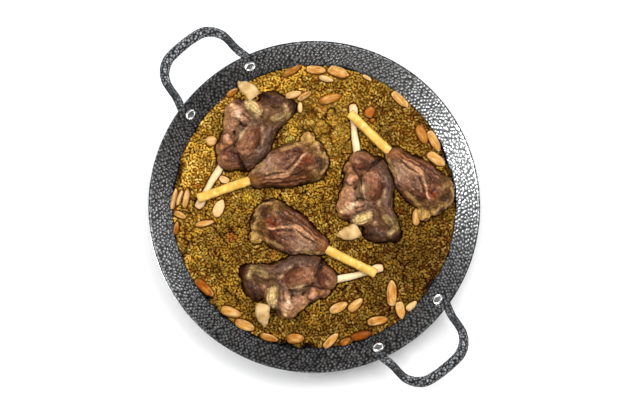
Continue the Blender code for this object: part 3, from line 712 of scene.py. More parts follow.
SHANK_MARKS = (
    (((264, 164), (272, 162)), 8.0, 0.2, (188, 154, 134)),
    (((280, 160), (286, 159)), 7.0, 0.3, (150, 106, 88)),
    (((291, 156), (300, 150)), 6.0, 0.2, (110, 62, 42)),
    (((282, 152), (292, 151)), 2.6, 0.0, (130, 80, 58)),
    (((299, 150), (303, 154)), 3.0, 0.0, (86, 38, 12)),
    (((286, 164), (291, 160)), 2.0, 0.0, (132, 92, 74)),
    (((250, 174), (256, 169), (263, 164)), 2.6, 0.0, (190, 158, 112)),
    (((253, 178), (259, 180)), 4.2, 0.0, (162, 106, 62)),
    (((256, 183), (260, 186)), 2.0, 0.2, (182, 126, 96)),
    (((263, 182), (285, 181), (305, 175)), 3.4, 0.0, (148, 92, 60)),
    (((299, 176), (310, 174)), 4.4, 0.0, (106, 60, 32)),
    (((300, 171), (306, 170)), 1.4, 0.1, (120, 72, 44)),
    (((267, 173.4), (277, 171.6), (287.5, 171.2)), 1.0, 0.5, (218, 172, 136)),
    (((268, 179), (279, 177.4), (288, 174)), 2.2, 0.5, (224, 172, 136)),
    (((265, 176.4), (271, 174.6), (279, 173.6), (285.5, 173)), 0.55, -1.2, (54, 26, 12)),
    (((304, 161), (310, 162)), 6.4, 0.1, (136, 72, 40)),
    (((305, 160), (309, 160.5)), 2.8, 0.1, (142, 64, 32)),
    (((291, 170), (296.5, 165), (301, 158.5), (306.5, 152)), 1.1, 0.8, (226, 178, 146)),
    (((287, 169.5), (293.5, 165), (299, 158), (304.5, 151)), 0.9, -1.1, (66, 28, 16)),
    (((284, 167), (290, 164), (296, 157)), 0.5, 0.3, (176, 128, 104)),
    (((264, 182), (288, 181.6), (306, 177)), 0.7, 0.4, (184, 128, 96)),
    (((265, 183.8), (288, 183.4), (306, 179)), 0.7, -1.2, (82, 44, 26)),
    (((284, 182), (296, 181)), 1.6, 0.0, (104, 58, 34)),
    (((267, 185), (285, 185.2), (298, 183)), 0.5, 0.3, (160, 104, 80)),
    (((262, 187), (290, 187), (312, 182)), 1.6, -0.3, (100, 60, 36)),
    (((264, 180.2), (286, 179.2), (303, 172)), 0.6, -0.9, (88, 46, 28)),
    (((301, 145), (307, 150)), 3.0, 0.0, (164, 120, 80)),
    (((316, 150), (322, 160), (320, 170), (313, 178)), 6.2, 0.1, (128, 92, 50)),
    (((316, 160), (321, 165)), 2.6, -0.3, (98, 62, 34)),
    (((324.5, 153), (327.6, 160.5), (326.2, 168), (322, 173)), 1.0, 0.6, (216, 178, 128)),
    (((327.5, 152), (330.6, 160.5), (328.6, 169), (325, 174)), 1.1, -0.9, (66, 32, 16)),
    (((320, 158), (323, 164), (321, 170)), 1.0, -0.4, (98, 66, 36)),
    (((317, 144), (319, 147)), 1.6, 0.4, (216, 182, 136)),
    (((319, 152), (323, 156)), 1.8, 0.2, (194, 158, 102)),
    (((315, 173), (319, 177)), 2.4, 0.2, (174, 136, 88)),
    (((309, 169), (313, 167)), 1.2, 0.2, (168, 126, 90)),
    (((303, 138), (308, 136), (313, 141)), 5.0, 0.2, (214, 176, 106)),
    (((283, 150), (290, 147), (297, 144.5)), 1.9, 0.2, (198, 162, 108)),
    (((309, 145), (313, 142)), 0.7, -0.6, (132, 92, 48)),
)


def in_pair(place, height):
    """A place of the plan in the pair's own frame, whose middle is PAIR_CENTRE."""
    return ((place[0] - PAIR_CENTRE[0]) * PLAN_STEP,
            (PAIR_CENTRE[1] - place[1]) * PLAN_STEP, height)


def in_plan(points):
    """The other way round: places of the plan under points in the pair's frame."""
    return points[:, :2] / PLAN_STEP * (1, -1) + PAIR_CENTRE


def pair_matrix(name):
    """Takes the pair's frame to its place in the pan."""
    centre, turn, mirrored = PAIRS[name]
    spot = plan(centre, PAIR_LEVEL)
    mirror = Matrix.Scale(-1, 4, (0, 1, 0)) if mirrored else Matrix.Identity(4)
    rotation = Matrix.Rotation(math.radians(turn) + HANDLE_TURN, 4, "Z")
    return Matrix.Translation((spot.x, spot.y, 0)) @ rotation @ mirror


def in_each_pair(kind, points, faces, material, slot, tint):
    """A body for each pair, from points in the pair's frame."""
    bodies = []
    for pair in PAIRS:
        placed = moved(points, pair_matrix(pair))
        bodies.append(body(f"{kind}_{pair}", placed, faces, material, slot, tint))
        toppings.append(placed)
    return bodies


def skin(field, low, high, cell):
    """Points and quads of the surface where the field is zero, from a grid of cubes. The
    field is negative inside, and each cube that the surface crosses gives one point."""
    low = np.array(low, float)
    counts = np.ceil((np.array(high) - low) / cell).astype(int) + 1
    index = np.stack(np.meshgrid(*[np.arange(n) for n in counts], indexing="ij"), -1)
    value = field(low + index * cell)
    total = np.zeros((*(counts - 1), 3))
    hits = np.zeros(counts - 1)
    for axis, corner in itertools.product(range(3), itertools.product((0, 1), repeat=3)):
        if corner[axis]:
            continue
        start = [slice(c, n - 1 + c) for c, n in zip(corner, counts)]
        end = list(start)
        end[axis] = slice(1, counts[axis])
        first, second = value[tuple(start)], value[tuple(end)]
        crossed = (first < 0) != (second < 0)
        share = first / np.where(crossed, first - second, 1)
        point = np.array(corner) + share[..., None] * np.eye(3)[axis]
        total += np.where(crossed[..., None], point, 0)
        hits += crossed
    used = hits > 0
    number = np.cumsum(used).reshape(used.shape) - 1
    points = low + (np.argwhere(used) + total[used] / hits[used][:, None]) * cell
    faces = []
    unit = np.eye(3, dtype=int)
    for axis in range(3):
        one, two = unit[(axis + 1) % 3], unit[(axis + 2) % 3]
        window = [slice(1, n - 1) for n in counts]
        window[axis] = slice(0, counts[axis] - 1)
        beyond = list(window)
        beyond[axis] = slice(1, counts[axis])
        first, second = value[tuple(window)], value[tuple(beyond)]
        for inside in (True, False):
            spots = np.argwhere(((first < 0) == inside) & ((second < 0) != inside)) + one + two
            ring = [spots - one - two, spots - two, spots, spots - one]
            quads = np.stack([number[tuple(spot.T)] for spot in ring], 1)
            faces.append(quads if inside else quads[:, ::-1])
    return points, np.concatenate(faces)


def lump_reach(points, lump):
    """Points in the lump's own frame, and their distance-like value, negative inside. The
    sides of a lump stand steeply below its middle, where it sinks into the food."""
    place, (length, width), (height, rise), turn = lump
    offset = points - np.array(in_pair(place, height))
    along, across = own_axes(offset[..., 0], offset[..., 1], math.radians(turn))
    above, below = np.maximum(offset[..., 2], 0), np.maximum(-offset[..., 2], 0)
    own = np.stack((along, across, above - rise * (below / rise) ** STEEPNESS), -1)
    halves = np.array((length * PLAN_STEP, width * PLAN_STEP, rise))
    reach = np.linalg.norm(own / halves, axis=-1)
    slope = np.linalg.norm(own / halves ** 2, axis=-1) + 1e-9
    return own, reach * (reach - 1) / slope


def lumps_field(lumps):
    """Distance-like field of lumps that flow into one another, in the pair's frame."""
    def field(points):
        total = np.zeros(points.shape[:-1])
        for lump in lumps:
            total += np.exp(-np.clip(lump_reach(points, lump)[1], -60, 200) / MELT)
        return -MELT * np.log(total + 1e-30)
    return field


def meat(kind, lumps, field, marks):
    """One piece of lamb in the pair's frame: points, quads, colours, and coordinates along
    and across the fibres of its muscles."""
    points, quads = skin(field, in_pair(*MEAT_LOW), in_pair(*MEAT_HIGH), MEAT_CELL)
    normals = normals_of(points, quads)
    shares, owns = [], []
    for lump in lumps:
        own, value = lump_reach(points, lump)
        length, width = lump[1]
        owns.append(own if length >= width else own[:, [1, 0, 2]])
        shares.append(np.exp(-np.clip(value, -60, 200) / (0.5 * MELT)))
    shares = np.array(shares)
    shares /= shares.sum(0)

    def along_fibres(size, seed):
        return sum(share * uneven(own, size, number + seed)
                   for number, (share, own) in enumerate(zip(shares, owns)))

    streak = along_fibres((16, 1.6, 1.8), 5)
    bundles = along_fibres((26, 4.4, 5.0), 9)
    crevice = np.exp(-(bundles / 0.09) ** 2) * np.clip(0.45 + 1.6 * uneven(points, 13, 9), 0, 1)
    main = shares.argmax(0)
    fibre = np.array(owns)[main, np.arange(len(points))] + FIBRE_STEP * main[:, None]

    places = in_plan(points) + 0.7 * np.stack((uneven(points, 5, 11), uneven(points, 5, 12)), -1)
    above = np.clip(4.0 * normals[:, 2] + 1.0, 0, 1)
    # Painted shade: the base colours darken in the crevices between bundles.
    tint = layered((120, 78, 56),
                   ((150, 104, 78), 0.5 + 0.9 * uneven(points, 9, 1)),
                   ((80, 46, 30), 0.9 * uneven(points, 6, 2)),
                   ((60, 34, 22), 0.75 * crevice))
    rise = 1.0 * uneven(points, 5, 3) + 0.55 * uneven(points, 2.4, 4) + 0.4 * streak
    rise += 0.9 * np.abs(bundles) - 0.8 * crevice
    # The marks lay painted highlights and painted shade over the meat, along with its own colours.
    for path, width, height, shade in marks:
        share = near_path(places, path, width) * above
        tint = blend(tint, colour(*shade), 0.92 * share)
        rise += height * share
    spot, reach = FATTY[kind]
    fat = near_path(places, (spot,), reach)
    lumpy = uneven(points, 2.6, 14) + 0.6 * uneven(points, 1.5, 15)
    rise += 0.7 * fat * lumpy
    tint *= (1 + 0.34 * streak + 0.2 * uneven(points, 2.2, 4) + 0.32 * uneven(points, 1.3, 7)
             + 0.45 * fat * lumpy)[:, None]
    # Painted shade: the meat is darker low down, towards the food.
    tint *= np.clip(0.85 + 0.03 * (points[:, 2] - 16), 0.85, 1)[:, None]
    # Painted highlight: small light glints on the upper side round one place.
    spot, reach = GLINTED[kind]
    bright = np.clip(2.6 * uneven(points, 1.6, 6) - 0.95, 0, 1)
    bright *= near_path(places, (spot,), reach) * above
    tint = blend(tint, colour(216, 178, 146), 0.6 * bright)
    tint *= (np.maximum(tint.mean(1), 0) / 0.15)[:, None] ** 0.3 * MEAT_SHADE[kind]
    return points + normals * rise[:, None], quads, np.clip(tint, 0.004, 0.9), fibre


def meats():
    """The knuckle and the shank of each pair."""
    knuckle, shank = lumps_field(KNUCKLE), lumps_field(SHANK)

    def shank_apart(points):
        return np.maximum(shank(points), MEAT_APART - knuckle(points))

    made = {"knuckle": meat("knuckle", KNUCKLE, knuckle, KNUCKLE_MARKS),
            "shank": meat("shank", SHANK, shank_apart, SHANK_MARKS)}
    material = lamb()
    for kind, (points, quads, tint, fibre) in made.items():
        for obj in in_each_pair(kind, points, quads.tolist(), material, "lamb", tint):
            layer = obj.data.attributes.new("fibre", "FLOAT_VECTOR", "POINT")
            layer.data.foreach_set("vector", (fibre * MM).ravel())


def lamb():
    """Moist braised meat: its own colours, fine fibres and a broken gloss."""
    shader = Shader("lamb", Specular_IOR_Level=0.2, Coat_Roughness=0.14,
                    Specular_Tint=(1.0, 0.84, 0.7, 1.0))
    place = shader.add("Attribute", attribute_name="fibre").outputs["Vector"]
    stretched = shader.add("Mapping", {"Vector": place, "Scale": (90.0, 1100.0, 1000.0)})
    strands = shader.noise(1.0, 3.0, 0.6, stretched.outputs[0])
    blots = shader.noise(420)
    shader.paint(strands, 0.72, 1.3)
    shader.feed("Roughness", shader.span(blots, 0.35, 0.65, 0.48, 0.7))
    shader.feed("Coat Weight", shader.span(blots, 0.42, 0.62, 0.0, 0.5))
    under = shader.bump(strands, 0.0003, 0.6)
    shader.feed("Normal", shader.bump(blots, 0.0008, 0.75, under))
    return shader.material


# ---------------------------------------------------------------- bones and gristle

THIN_BONE = (
    ((196.6, 207.4), 19.4, (4.2, 3.4)),
    ((200.0, 202.6), 19.6, (5.0, 4.0)),
    ((205.0, 192.0), 19.8, (3.6, 3.6)),
    ((212.0, 179.5), 21.2, (3.9, 3.8)),
    ((218.0, 170.5), 22.8, (4.3, 4.0)),
    ((222.0, 164.0), 23.6, (4.0, 3.8)),
)
SHIN_BONE = (
    ((197.7, 198.6), 28.4, (5.7, 4.6)),
    ((202.0, 197.2), 28.4, (5.6, 4.8)),
    ((216.0, 192.2), 28.4, (5.2, 4.5)),
    ((232.0, 186.6), 28.2, (5.2, 4.4)),
    ((245.0, 182.2), 28.0, (5.4, 4.5)),
    ((252.5, 179.8), 28.0, (5.0, 4.3)),
)
GRISTLE = (
    ((238.2, 81.6), 28.5, (1.7, 1.6)),
    ((240.8, 83.8), 29.4, (4.4, 3.2)),
    ((245.0, 87.0), 30.6, (7.2, 5.0)),
    ((249.0, 90.0), 31.6, (8.3, 5.8)),
    ((252.2, 93.2), 31.6, (8.5, 5.8)),
    ((254.2, 95.8), 30.6, (8.0, 5.2)),
)
BONE_SIDES = 26


def rounded_ends(path, reach):
    """The path with its end rings drawn in to a dome of that length."""
    for end, beside in ((0, 1), (-1, -2)):
        away = path[end, :3] - path[beside, :3]
        away /= np.linalg.norm(away)
        extra = []
        for turn in (0.35, 0.75, 1.1, 1.4):
            ring = path[end].copy()
            ring[:3] += away * reach * math.sin(turn)
            ring[3:] *= math.cos(turn)
            extra.append(ring)
        if end == 0:
            path = np.concatenate([extra[::-1], path])
        else:
            path = np.concatenate([path, extra])
    return path


def bone(rings, roundness, reach, coarse, seed):
    """A bone in the pair's frame: points, faces and each point's share of the length."""
    path = smooth_path([(in_pair(place, height), half) for place, height, half in rings], 0.9)
    path = rounded_ends(path, reach)
    points = swept(path, BONE_SIDES, roundness)
    normal = points - path[:, None, :3]
    normal /= np.linalg.norm(normal, axis=2)[..., None]
    points = points + normal * (coarse * uneven(points, 4.5, seed)
                                + 0.35 * coarse * uneven(points, 1.8, seed + 1))[..., None]
    share = np.append(np.repeat(np.linspace(0, 1, len(path)), BONE_SIDES), (0.0, 1.0))
    return *closed_rings(points), share


def bones():
    """Two bones and the knob of gristle in each pair."""
    thin = bone(THIN_BONE, 1.0, 1.6, 0.3, 4)
    shin = bone(SHIN_BONE, 0.8, 1.2, 0.3, 8)
    knob = bone(GRISTLE, 0.6, 0.8, 0.8, 13)
    spots, _, share = thin
    thin_tint = layered((243, 220, 176),
                        ((226, 194, 146), 0.4 + uneven(spots, 6, 2)),
                        ((222, 176, 130), 1.2 - 9 * share),
                        ((198, 150, 104), 8 * share - 6.8))
    spots, _, share = shin
    shin_tint = layered((228, 184, 88),
                        ((212, 163, 66), 0.5 + uneven(spots, (7, 7, 3), 3)),
                        ((234, 202, 116), 1.6 * uneven(spots, 4, 5) - 0.2),
                        ((212, 166, 96), 7 * share - 5.6))
    place = in_plan(knob[0])
    # Painted shade: the knob is darker at its lower left and along its right edge.
    knob_tint = layered((214, 180, 128),
                        ((166, 124, 66), 0.12 + uneven(knob[0], 5, 6)),
                        ((196, 158, 98), near_path(place, ((242, 90), (245, 95)), 2.6)),
                        ((166, 120, 68), near_path(place, ((259, 90), (260, 97)), 1.6)))
    for kind, (points, faces, _), tint, slot, roughness in (
            ("thin_bone", thin, thin_tint, "bone_white", 0.42),
            ("shin_bone", shin, shin_tint, "bone_yellow", 0.36),
            ("gristle", knob, knob_tint, "gristle", 0.5)):
        in_each_pair(kind, points, faces, wax(slot, roughness), slot, np.clip(tint, 0, 0.95))


def wax(name, roughness):
    """A smooth, slightly greasy solid in its own colours."""
    return cloudy(name, (260, 4.0), (0.86, 1.1), (0.8 * roughness, 1.3 * roughness), 0.4,
                  Specular_IOR_Level=0.35, Coat_Weight=0.05, Coat_Roughness=0.3,
                  Subsurface_Weight=0.15, Subsurface_Scale=0.003)


# ---------------------------------------------------------------- almonds

ALMOND_THICKNESS = 4.4
ALMOND_SIDES = 44
PALE, GOLD, BROWN = colour(226, 191, 138), colour(198, 140, 56), colour(122, 60, 6)
# Place, (length, width) in steps, turn, roll, how toasted from 0 to 1, how broken its edge.
# A toast beyond 1 darkens the whole almond.
ALMONDS = (
    ((292.0, 71.0), (22.6, 9.0), 30, 58, 0.7, 0.3),
    ((316.0, 69.8), (20.0, 8.4), -4, 10, 0.6, 0.2),
    ((338.5, 72.0), (22.5, 10.0), -18, 5, 0.65, 1.0),
    ((326.3, 79.0), (15.3, 7.0), -14, 40, 0.05, 0.3),
    ((293.5, 94.5), (17.0, 7.0), 15, 20, 0.35, 0.6),
    ((304.5, 95.6), (17.0, 7.5), 32, 50, 0.6, 0.6),
    ((330.5, 98.6), (22.8, 9.2), 17, 6, 0.75, 0.2),
    ((369.7, 111.9), (12.0, 10.5), 60, 4, 1.0, 0.4),
    ((400.5, 99.8), (21.5, 8.5), -42, 14, 0.5, 1.0),
    ((422.0, 135.0), (19.5, 9.8), -66, 4, 0.75, 0.3),
    ((434.2, 141.0), (23.0, 9.0), -62, 12, 0.6, 0.3),
    ((436.3, 159.2), (21.5, 10.0), -36, 3, 0.5, 0.3),
    ((416.2, 216.8), (17.4, 8.0), 90, 10, 0.4, 0.3),
    ((173.0, 199.1), (23.2, 9.0), 78, 72, 0.35, 0.3),
    ((179.6, 197.7), (16.4, 7.5), 72, 74, 0.3, 0.3),
    ((186.2, 198.2), (20.0, 8.0), 80, 50, 0.4, 0.3),
    ((180.4, 215.0), (13.0, 6.5), -25, 15, 0.55, 0.5),
    ((173.5, 228.5), (13.6, 6.0), 80, 40, 0.85, 0.5),
    ((205.0, 223.5), (19.5, 6.5), 12, 25, 0.45, 0.5),
    ((219.1, 208.2), (18.5, 10.5), 66, 6, 0.05, 0.2),
    ((224.6, 179.8), (11.0, 7.5), -20, 8, 0.3, 0.4),
    ((211.5, 140.8), (11.0, 10.0), 20, 10, 0.35, 0.3),
    ((232.0, 91.5), (13.5, 7.0), 31, 45, 0.75, 0.4),
    ((204.7, 287.6), (25.0, 9.3), -45, 8, 1.0, 0.2),
    ((230.8, 312.0), (21.5, 10.0), -18, 4, 0.55, 0.3),
    ((245.0, 325.6), (21.0, 10.0), -22, 4, 0.55, 0.3),
    ((269.0, 338.8), (19.5, 8.0), -16, 30, 0.75, 0.4),
    ((295.5, 338.6), (18.0, 10.0), 2, 6, 0.7, 0.3),
    ((331.0, 340.5), (20.5, 8.0), 45, 12, 0.6, 0.3),
    ((345.4, 341.4), (12.0, 6.6), 30, 10, 0.95, 0.4),
    ((361.0, 335.6), (21.0, 9.0), 13, 4, 1.3, 0.3),
    ((378.0, 320.6), (21.0, 9.0), 10, 6, 0.65, 0.3),
    ((338.5, 307.3), (20.5, 9.5), 25, 5, 0.5, 0.2),
    ((355.5, 305.0), (18.5, 9.0), 42, 5, 0.5, 0.3),
    ((391.7, 293.2), (27.0, 10.5), 90, 4, 0.7, 0.2),
    ((400.4, 310.0), (18.0, 9.0), -80, 12, 0.5, 0.3),
    ((411.4, 306.0), (13.0, 7.0), 42, 8, 0.2, 1.0),
)

# Thin slivers of almond half sunk in the food, in the same terms.
SLIVERS = (
    ((299.8, 107.5), (10.5, 4.8), 89, 30, 0.05, 0.8),
    ((372.4, 120.4), (6.0, 4.0), 20, 10, 0.9, 0.8),
    ((367.2, 77.5), (10.0, 3.4), -30, 40, 0.2, 0.8),
)
SLIVER_SEED = 50
SLIVER_LIFT = 1.4               # of its middle above the food


def bed_level(radius):
    return BED_EDGE + BED_CROWN * (1 - (radius / wall_radius(BED_EDGE)) ** 2)


def almond(size, turn, roll, toast, broken, seed):
    """An almond half: pointed, domed above and flatter below, browned most at the edge."""
    length, width = size[0] * PLAN_STEP, size[1] * PLAN_STEP
    shares = np.array((0.06, 0.2, 0.34, 0.47, 0.59, 0.7, 0.8, 0.87, 0.93, 0.975, 1.0))
    cut = seed % 3 > 0          # the flat side is up
    upper = 0.52 * (1 - shares ** (9.0 if cut else 3.4))
    upper += 0.05 * cut * np.exp(-((shares - 0.87) / 0.1) ** 2)
    lower = -0.42 * (1 - shares[:-1] ** 4)
    share = np.concatenate([shares, shares[:-1][::-1]])[:, None]
    height = np.concatenate([upper, lower[::-1]])[:, None] * ALMOND_THICKNESS
    angle = math.tau * np.arange(ALMOND_SIDES)[None] / ALMOND_SIDES
    ring = circle(1.0, 0.0, angle)
    full = np.sign(ring[..., :2]) * np.abs(ring[..., :2]) ** 0.84
    chipped = 1 + (0.03 + 0.1 * broken) * uneven(ring, 0.55, seed) + 0.03 * uneven(ring, 0.2, seed)
    taper = (1 - 0.12 * np.cos(angle)) * (1 - 0.26 * np.maximum(np.cos(angle), 0) ** 3)
    points = np.stack((0.5 * length * share * full[..., 0] * chipped,
                       0.5 * width * share * full[..., 1] * taper * chipped,
                       height + 0 * angle), -1)
    points[..., 2] += (0.3 * uneven(points, (6, 3, 3), seed + 2)
                       + 0.2 * uneven(points, (7, 1.1, 3), seed + 3)) * (1.1 - share ** 4)
    edge = share ** 3 + 0.5 * uneven(points, (5, 2.4, 2.4), seed + 4)
    streaks = uneven(points, (7, 0.8, 3), seed + 6)
    body_tint = blend(PALE, GOLD, toast * 1.5 + 0.4 * uneven(points, (6, 2, 2), seed + 5)
                      + 0.5 * streaks - 0.1)
    body_tint = blend(body_tint, colour(158, 78, 4), 2.3 * (toast - 0.6) + 0.4 * streaks
                      + 0.6 * uneven(points, (5, 3, 3), seed))
    rim_tint = blend(GOLD, BROWN, np.array(toast * 1.1))
    tint = blend(body_tint, rim_tint, edge * (0.35 + 0.75 * toast))
    # Painted highlight: a pale line along the lip of a cut face.
    lip_highlight = np.exp(-((share - 0.9) / 0.06) ** 2) * (height > 0) * cut
    tint = blend(tint, colour(236, 198, 136),
                 lip_highlight * (1.1 - toast + 0.8 * uneven(ring, 0.6, seed + 7)))
    tint = with_ends(tint) * (1 - 0.9 * max(toast - 1, 0))
    points, faces = closed_rings(points)
    matrix = (Matrix.Rotation(math.radians(turn) + HANDLE_TURN, 4, "Z")
              @ Matrix.Rotation(math.radians(roll), 4, "X"))
    return moved(points, matrix), faces, tint


def almonds():
    """The almond halves, and the slivers as one piece."""
    material = nut()
    for number, (place, *form) in enumerate(ALMONDS):
        points, faces, tint = almond(*form, number)
        spot = plan(place, BED_EDGE)
        lowest = points[:, 2].min()
        points += (spot.x, spot.y, bed_level(spot.length) - lowest - 0.3 * abs(lowest) - 0.8)
        excess = (np.hypot(*points[:, :2].T) + 1.2 - wall_radius(points[:, 2])).max()
        if excess > 0:
            points[:, :2] -= np.array(spot.normalized()) * excess
        body(f"almond_{number + 1:02d}", points, faces, material, "toasted_almond", tint)
        toppings.append(points)
    slivers = []
    for number, (place, *form) in enumerate(SLIVERS):
        points, faces, tint = almond(*form, SLIVER_SEED + number)
        spot = plan(place, BED_EDGE)
        points += (spot.x, spot.y, bed_level(spot.length) + SLIVER_LIFT)
        slivers.append((points, tint))
        toppings.append(points)
    all_faces = repeated(faces, len(points), len(slivers))
    points, tint = (np.concatenate(parts) for parts in zip(*slivers))
    piece("freekeh_slivers", points, all_faces, material, ["freekeh"], tint)


def nut():
    """Toasted almond in its own colours."""
    return cloudy("toasted_almond", (330, 4.0), (0.84, 1.12), (0.4, 0.6), 0.4, (1500, 2.0),
                  Coat_Weight=0.04, Coat_Roughness=0.35, Specular_IOR_Level=0.3,
                  Specular_Tint=(1.0, 0.85, 0.6, 1.0), Subsurface_Weight=0.1,
                  Subsurface_Scale=0.002)


# ---------------------------------------------------------------- freekeh

RASTER = 0.5
RASTER_HALF = 172.0
RASTER_COUNT = int(2 * RASTER_HALF / RASTER)
SKY = 200.0                     # height over the food where nothing lies
GRAINS = 20000
TRIES = 14                      # places tried for each grain
REST_SHARE = 0.62               # share of the cells under a grain that it stands above
SINK = 0.12                     # how far it sinks then, of its height
LEAST_DEPTH = -1.0              # of its middle below the level
MUSH_PLACE, MUSH_REACH = (322.0, 132.0), 34.0
FOOD_SHADE = np.array((0.65, 0.55, 0.315))
SHADE_POWERS = (1.0, 1.13, 1.32)  # where the painted light is darker, the food is browner
# The colour of the painted shade in the seams, at the wall and low between the grains.
SHADE_BROWN = colour(68, 25, 0)
SHADE_DEPTH = 1.7                # painted shade on the grains deepens down to this far below the level
# Stained places of the food: place, reach in steps, colour.
STAINS = (((247, 197), 5.0, (214, 176, 60)), ((291, 141), 6.0, (196, 176, 84)),
          ((322.8, 110.2), 3.2, (172, 108, 44)), ((232, 237), 5.5, (160, 92, 34)),
          ((273.7, 253.4), 4.5, (168, 100, 40)))
# Where the food stops short of the wall: place and reach in steps.
GAPS = (((443, 146), 28), ((173, 172), 14), ((432, 285), 12), ((287, 347), 9), ((308, 348), 8),
        ((205, 296), 9), ((262, 342), 6), ((457, 190), 20))
# Lighter and darker places of the food, partly painted light and shade: place, reach in steps,
# factor.
SHADES = (((228, 244), 24, 0.7), ((422, 250), 38, 0.6), ((376, 300), 30, 0.84),
          ((190, 165), 26, 1.32), ((276, 80), 20, 1.15), ((338, 222), 12, 1.05),
          ((204, 256), 22, 1.15), ((318, 118), 24, 0.95), ((320, 200), 24, 0.8),
          ((317, 323), 28, 0.86), ((396, 180), 22, 1.14), ((400, 110), 24, 0.92))
EDGE_RADIUS, EDGE_DROP = 161.5, 6.5     # beyond it the food falls off to the wall
GAP_RADIUS = 155.5              # the gaps at the wall begin here
SEAM_DROP = 5.5                 # of the deepest seams between clumps
CORE_DEPTH = 1.8                # of the core below the level that the food reaches
CORE_FLOOR = 4.6                # the lowest that the core goes under what lies in it
CORE_SIDES = 540
CORE_RINGS = 146
CORE_GAP = 0.55                 # between the core and the pan
TRENCH = 3                      # cells round a thing in which the food is lowered for it
TRENCH_DEPTH = 0.5
BESIDE = 7                      # cells round a thing in which the painted shade on the grains is halved
CLUMP, SMALL_CLUMP = 17.0, 6.5
FOOD_SPAN = 165.0               # about the radius of the food
GRAIN_LENGTHS = (4.2, 6.5)
GRAIN_WIDTHS = (2.7, 3.5)
GRAIN_FLATNESS = (0.78, 0.98)   # height over width
GRAIN_TILT, STEEPEST_TILT = 0.45, 0.9
GRAIN_SHAPES = 12
GRAIN_SIDES = 5
FOOTPRINTS = 200
# Kinds of grain: name, share of all, lightest and darkest colour.
KINDS = (("golden", 0.29, (206, 166, 80), (178, 136, 54)),
         ("olive", 0.29, (180, 154, 82), (148, 122, 56)),
         ("brown", 0.18, (158, 118, 50), (130, 92, 32)),
         ("pale", 0.19, (220, 192, 128), (196, 166, 98)),
         ("toasted", 0.05, (178, 126, 52), (148, 96, 32)))


def raster_cell(points):
    """Row and column of the raster under points in millimetres."""
    cell = np.clip(((points[..., :2] + RASTER_HALF) / RASTER).astype(int), 0, RASTER_COUNT - 1)
    return cell[..., 0], cell[..., 1]


def steps_away(points, place, reach):
    """Distance of points from a place of the plan, over a reach in steps."""
    spot = plan(place, BED_EDGE)
    return np.hypot(points[..., 0] - spot.x, points[..., 1] - spot.y) / (reach * PLAN_STEP)


def upper_left(points):
    """How far points lie to the upper left in the plan, about 1 at the wall."""
    return points[:, :2] @ np.array(seen(-0.7, 0.7, 0))[:2] / FOOD_SPAN


def lowered(raster, steps):
    """The lowest value within that many cells."""
    for axis in (0, 1):
        result = raster.copy()
        for step in range(-steps, steps + 1):
            result = np.minimum(result, np.roll(raster, step, axis))
        raster = result
    return raster


def ceiling_raster():
    """Height of the lowest thing over each cell of the raster."""
    raster = np.full((RASTER_COUNT, RASTER_COUNT), SKY)
    for points in toppings:
        np.minimum.at(raster, raster_cell(points), points[:, 2])
    return raster


def clumps(x, y, size, seed):
    """How far each place is from the seams between clumps of that size, and its direction
    from the middle of its clump."""
    draw = np.random.default_rng(seed)
    count = int(2 * RASTER_HALF / size) + 4
    jitter = draw.uniform(0.1, 0.9, (2, count, count))
    column, row = (np.floor((axis + RASTER_HALF) / size).astype(int) for axis in (x, y))
    nearest = np.full(x.shape, np.inf)
    second, direction = nearest.copy(), np.zeros(x.shape)
    for right, up in itertools.product((-1, 0, 1), repeat=2):
        i, j = column + right + 1, row + up + 1
        beside = x + RASTER_HALF - (i - 1 + jitter[0][i, j]) * size
        above = y + RASTER_HALF - (j - 1 + jitter[1][i, j]) * size
        away = np.hypot(beside, above)
        second = np.minimum(second, np.maximum(nearest, away))
        direction = np.where(away < nearest, np.arctan2(above, beside), direction)
        nearest = np.minimum(nearest, away)
    return second - nearest, direction


def level_raster():
    """Height that the food reaches at each cell: the bed, with low mounds and clumps parted
    by seams, most of all where it is mushy."""
    axis = (np.arange(RASTER_COUNT) + 0.5) * RASTER - RASTER_HALF
    x, y = np.meshgrid(axis, axis, indexing="ij")
    spots = np.stack((x, y, 0 * x), -1)
    radius = np.hypot(x, y)
    mush = plan(MUSH_PLACE, BED_EDGE)
    mushy = np.exp(-((x - mush.x) ** 2 + (y - mush.y) ** 2) / MUSH_REACH ** 2)
    bent = 4.0 * uneven(spots, 8, 8)
    apart, direction = clumps(x + bent, y - bent, CLUMP, 41)
    depth = np.clip(0.15 + 1.3 * uneven(spots, 13, 9) + 0.9 * mushy, 0, 1)
    seam = depth * (1 - np.sqrt(np.clip(apart / (4.2 + 1.6 * mushy), 0, 1)))
    level = bed_level(radius) + 1.5 * uneven(spots, 26, 1) + 1.0
    level += 1.5 * uneven(spots, 8, 2) + 0.6 * uneven(spots, 4, 3) - SEAM_DROP * seam
    edge = 0.55 * np.clip((radius - EDGE_RADIUS - 3.0 * uneven(spots, 14, 5)) / 4, 0, 1) ** 2
    for place, reach in GAPS:
        away = steps_away(spots, place, reach)
        inward = np.clip((radius - GAP_RADIUS) / 4, 0, 1)
        edge = np.maximum(edge, np.exp(-away ** 4) * inward)
    small, _ = clumps(x + 0.3 * bent, y + 0.3 * bent, SMALL_CLUMP, 43)
    lumps = np.sqrt(np.clip(small / 3.2, 0, 1))
    level += 1.6 * mushy * (lumps - 0.6)
    # The seams and the gaps at the wall, returned together, are where the food is given painted
    # shade.
    return level - EDGE_DROP * edge, radius, mushy, np.maximum(seam, edge), direction, lumps


def light_and_tone(points):
    """How light the food is painted at each place: painted light, lighter at the upper left where
    the light falls and darker to the lower right, with spots of lighter and darker tone that are
    partly painted light and shade.
    """
    shade = np.exp(0.35 * upper_left(points))
    for place, reach, factor in SHADES:
        shade *= factor ** np.exp(-steps_away(points, place, reach) ** 2)
    return shade


def stained(tint, points):
    """The colours, changed where the food is stained."""
    for place, reach, shade in STAINS:
        tint = blend(tint, colour(*shade), 0.8 * np.exp(-steps_away(points, place, reach) ** 4))
    return tint


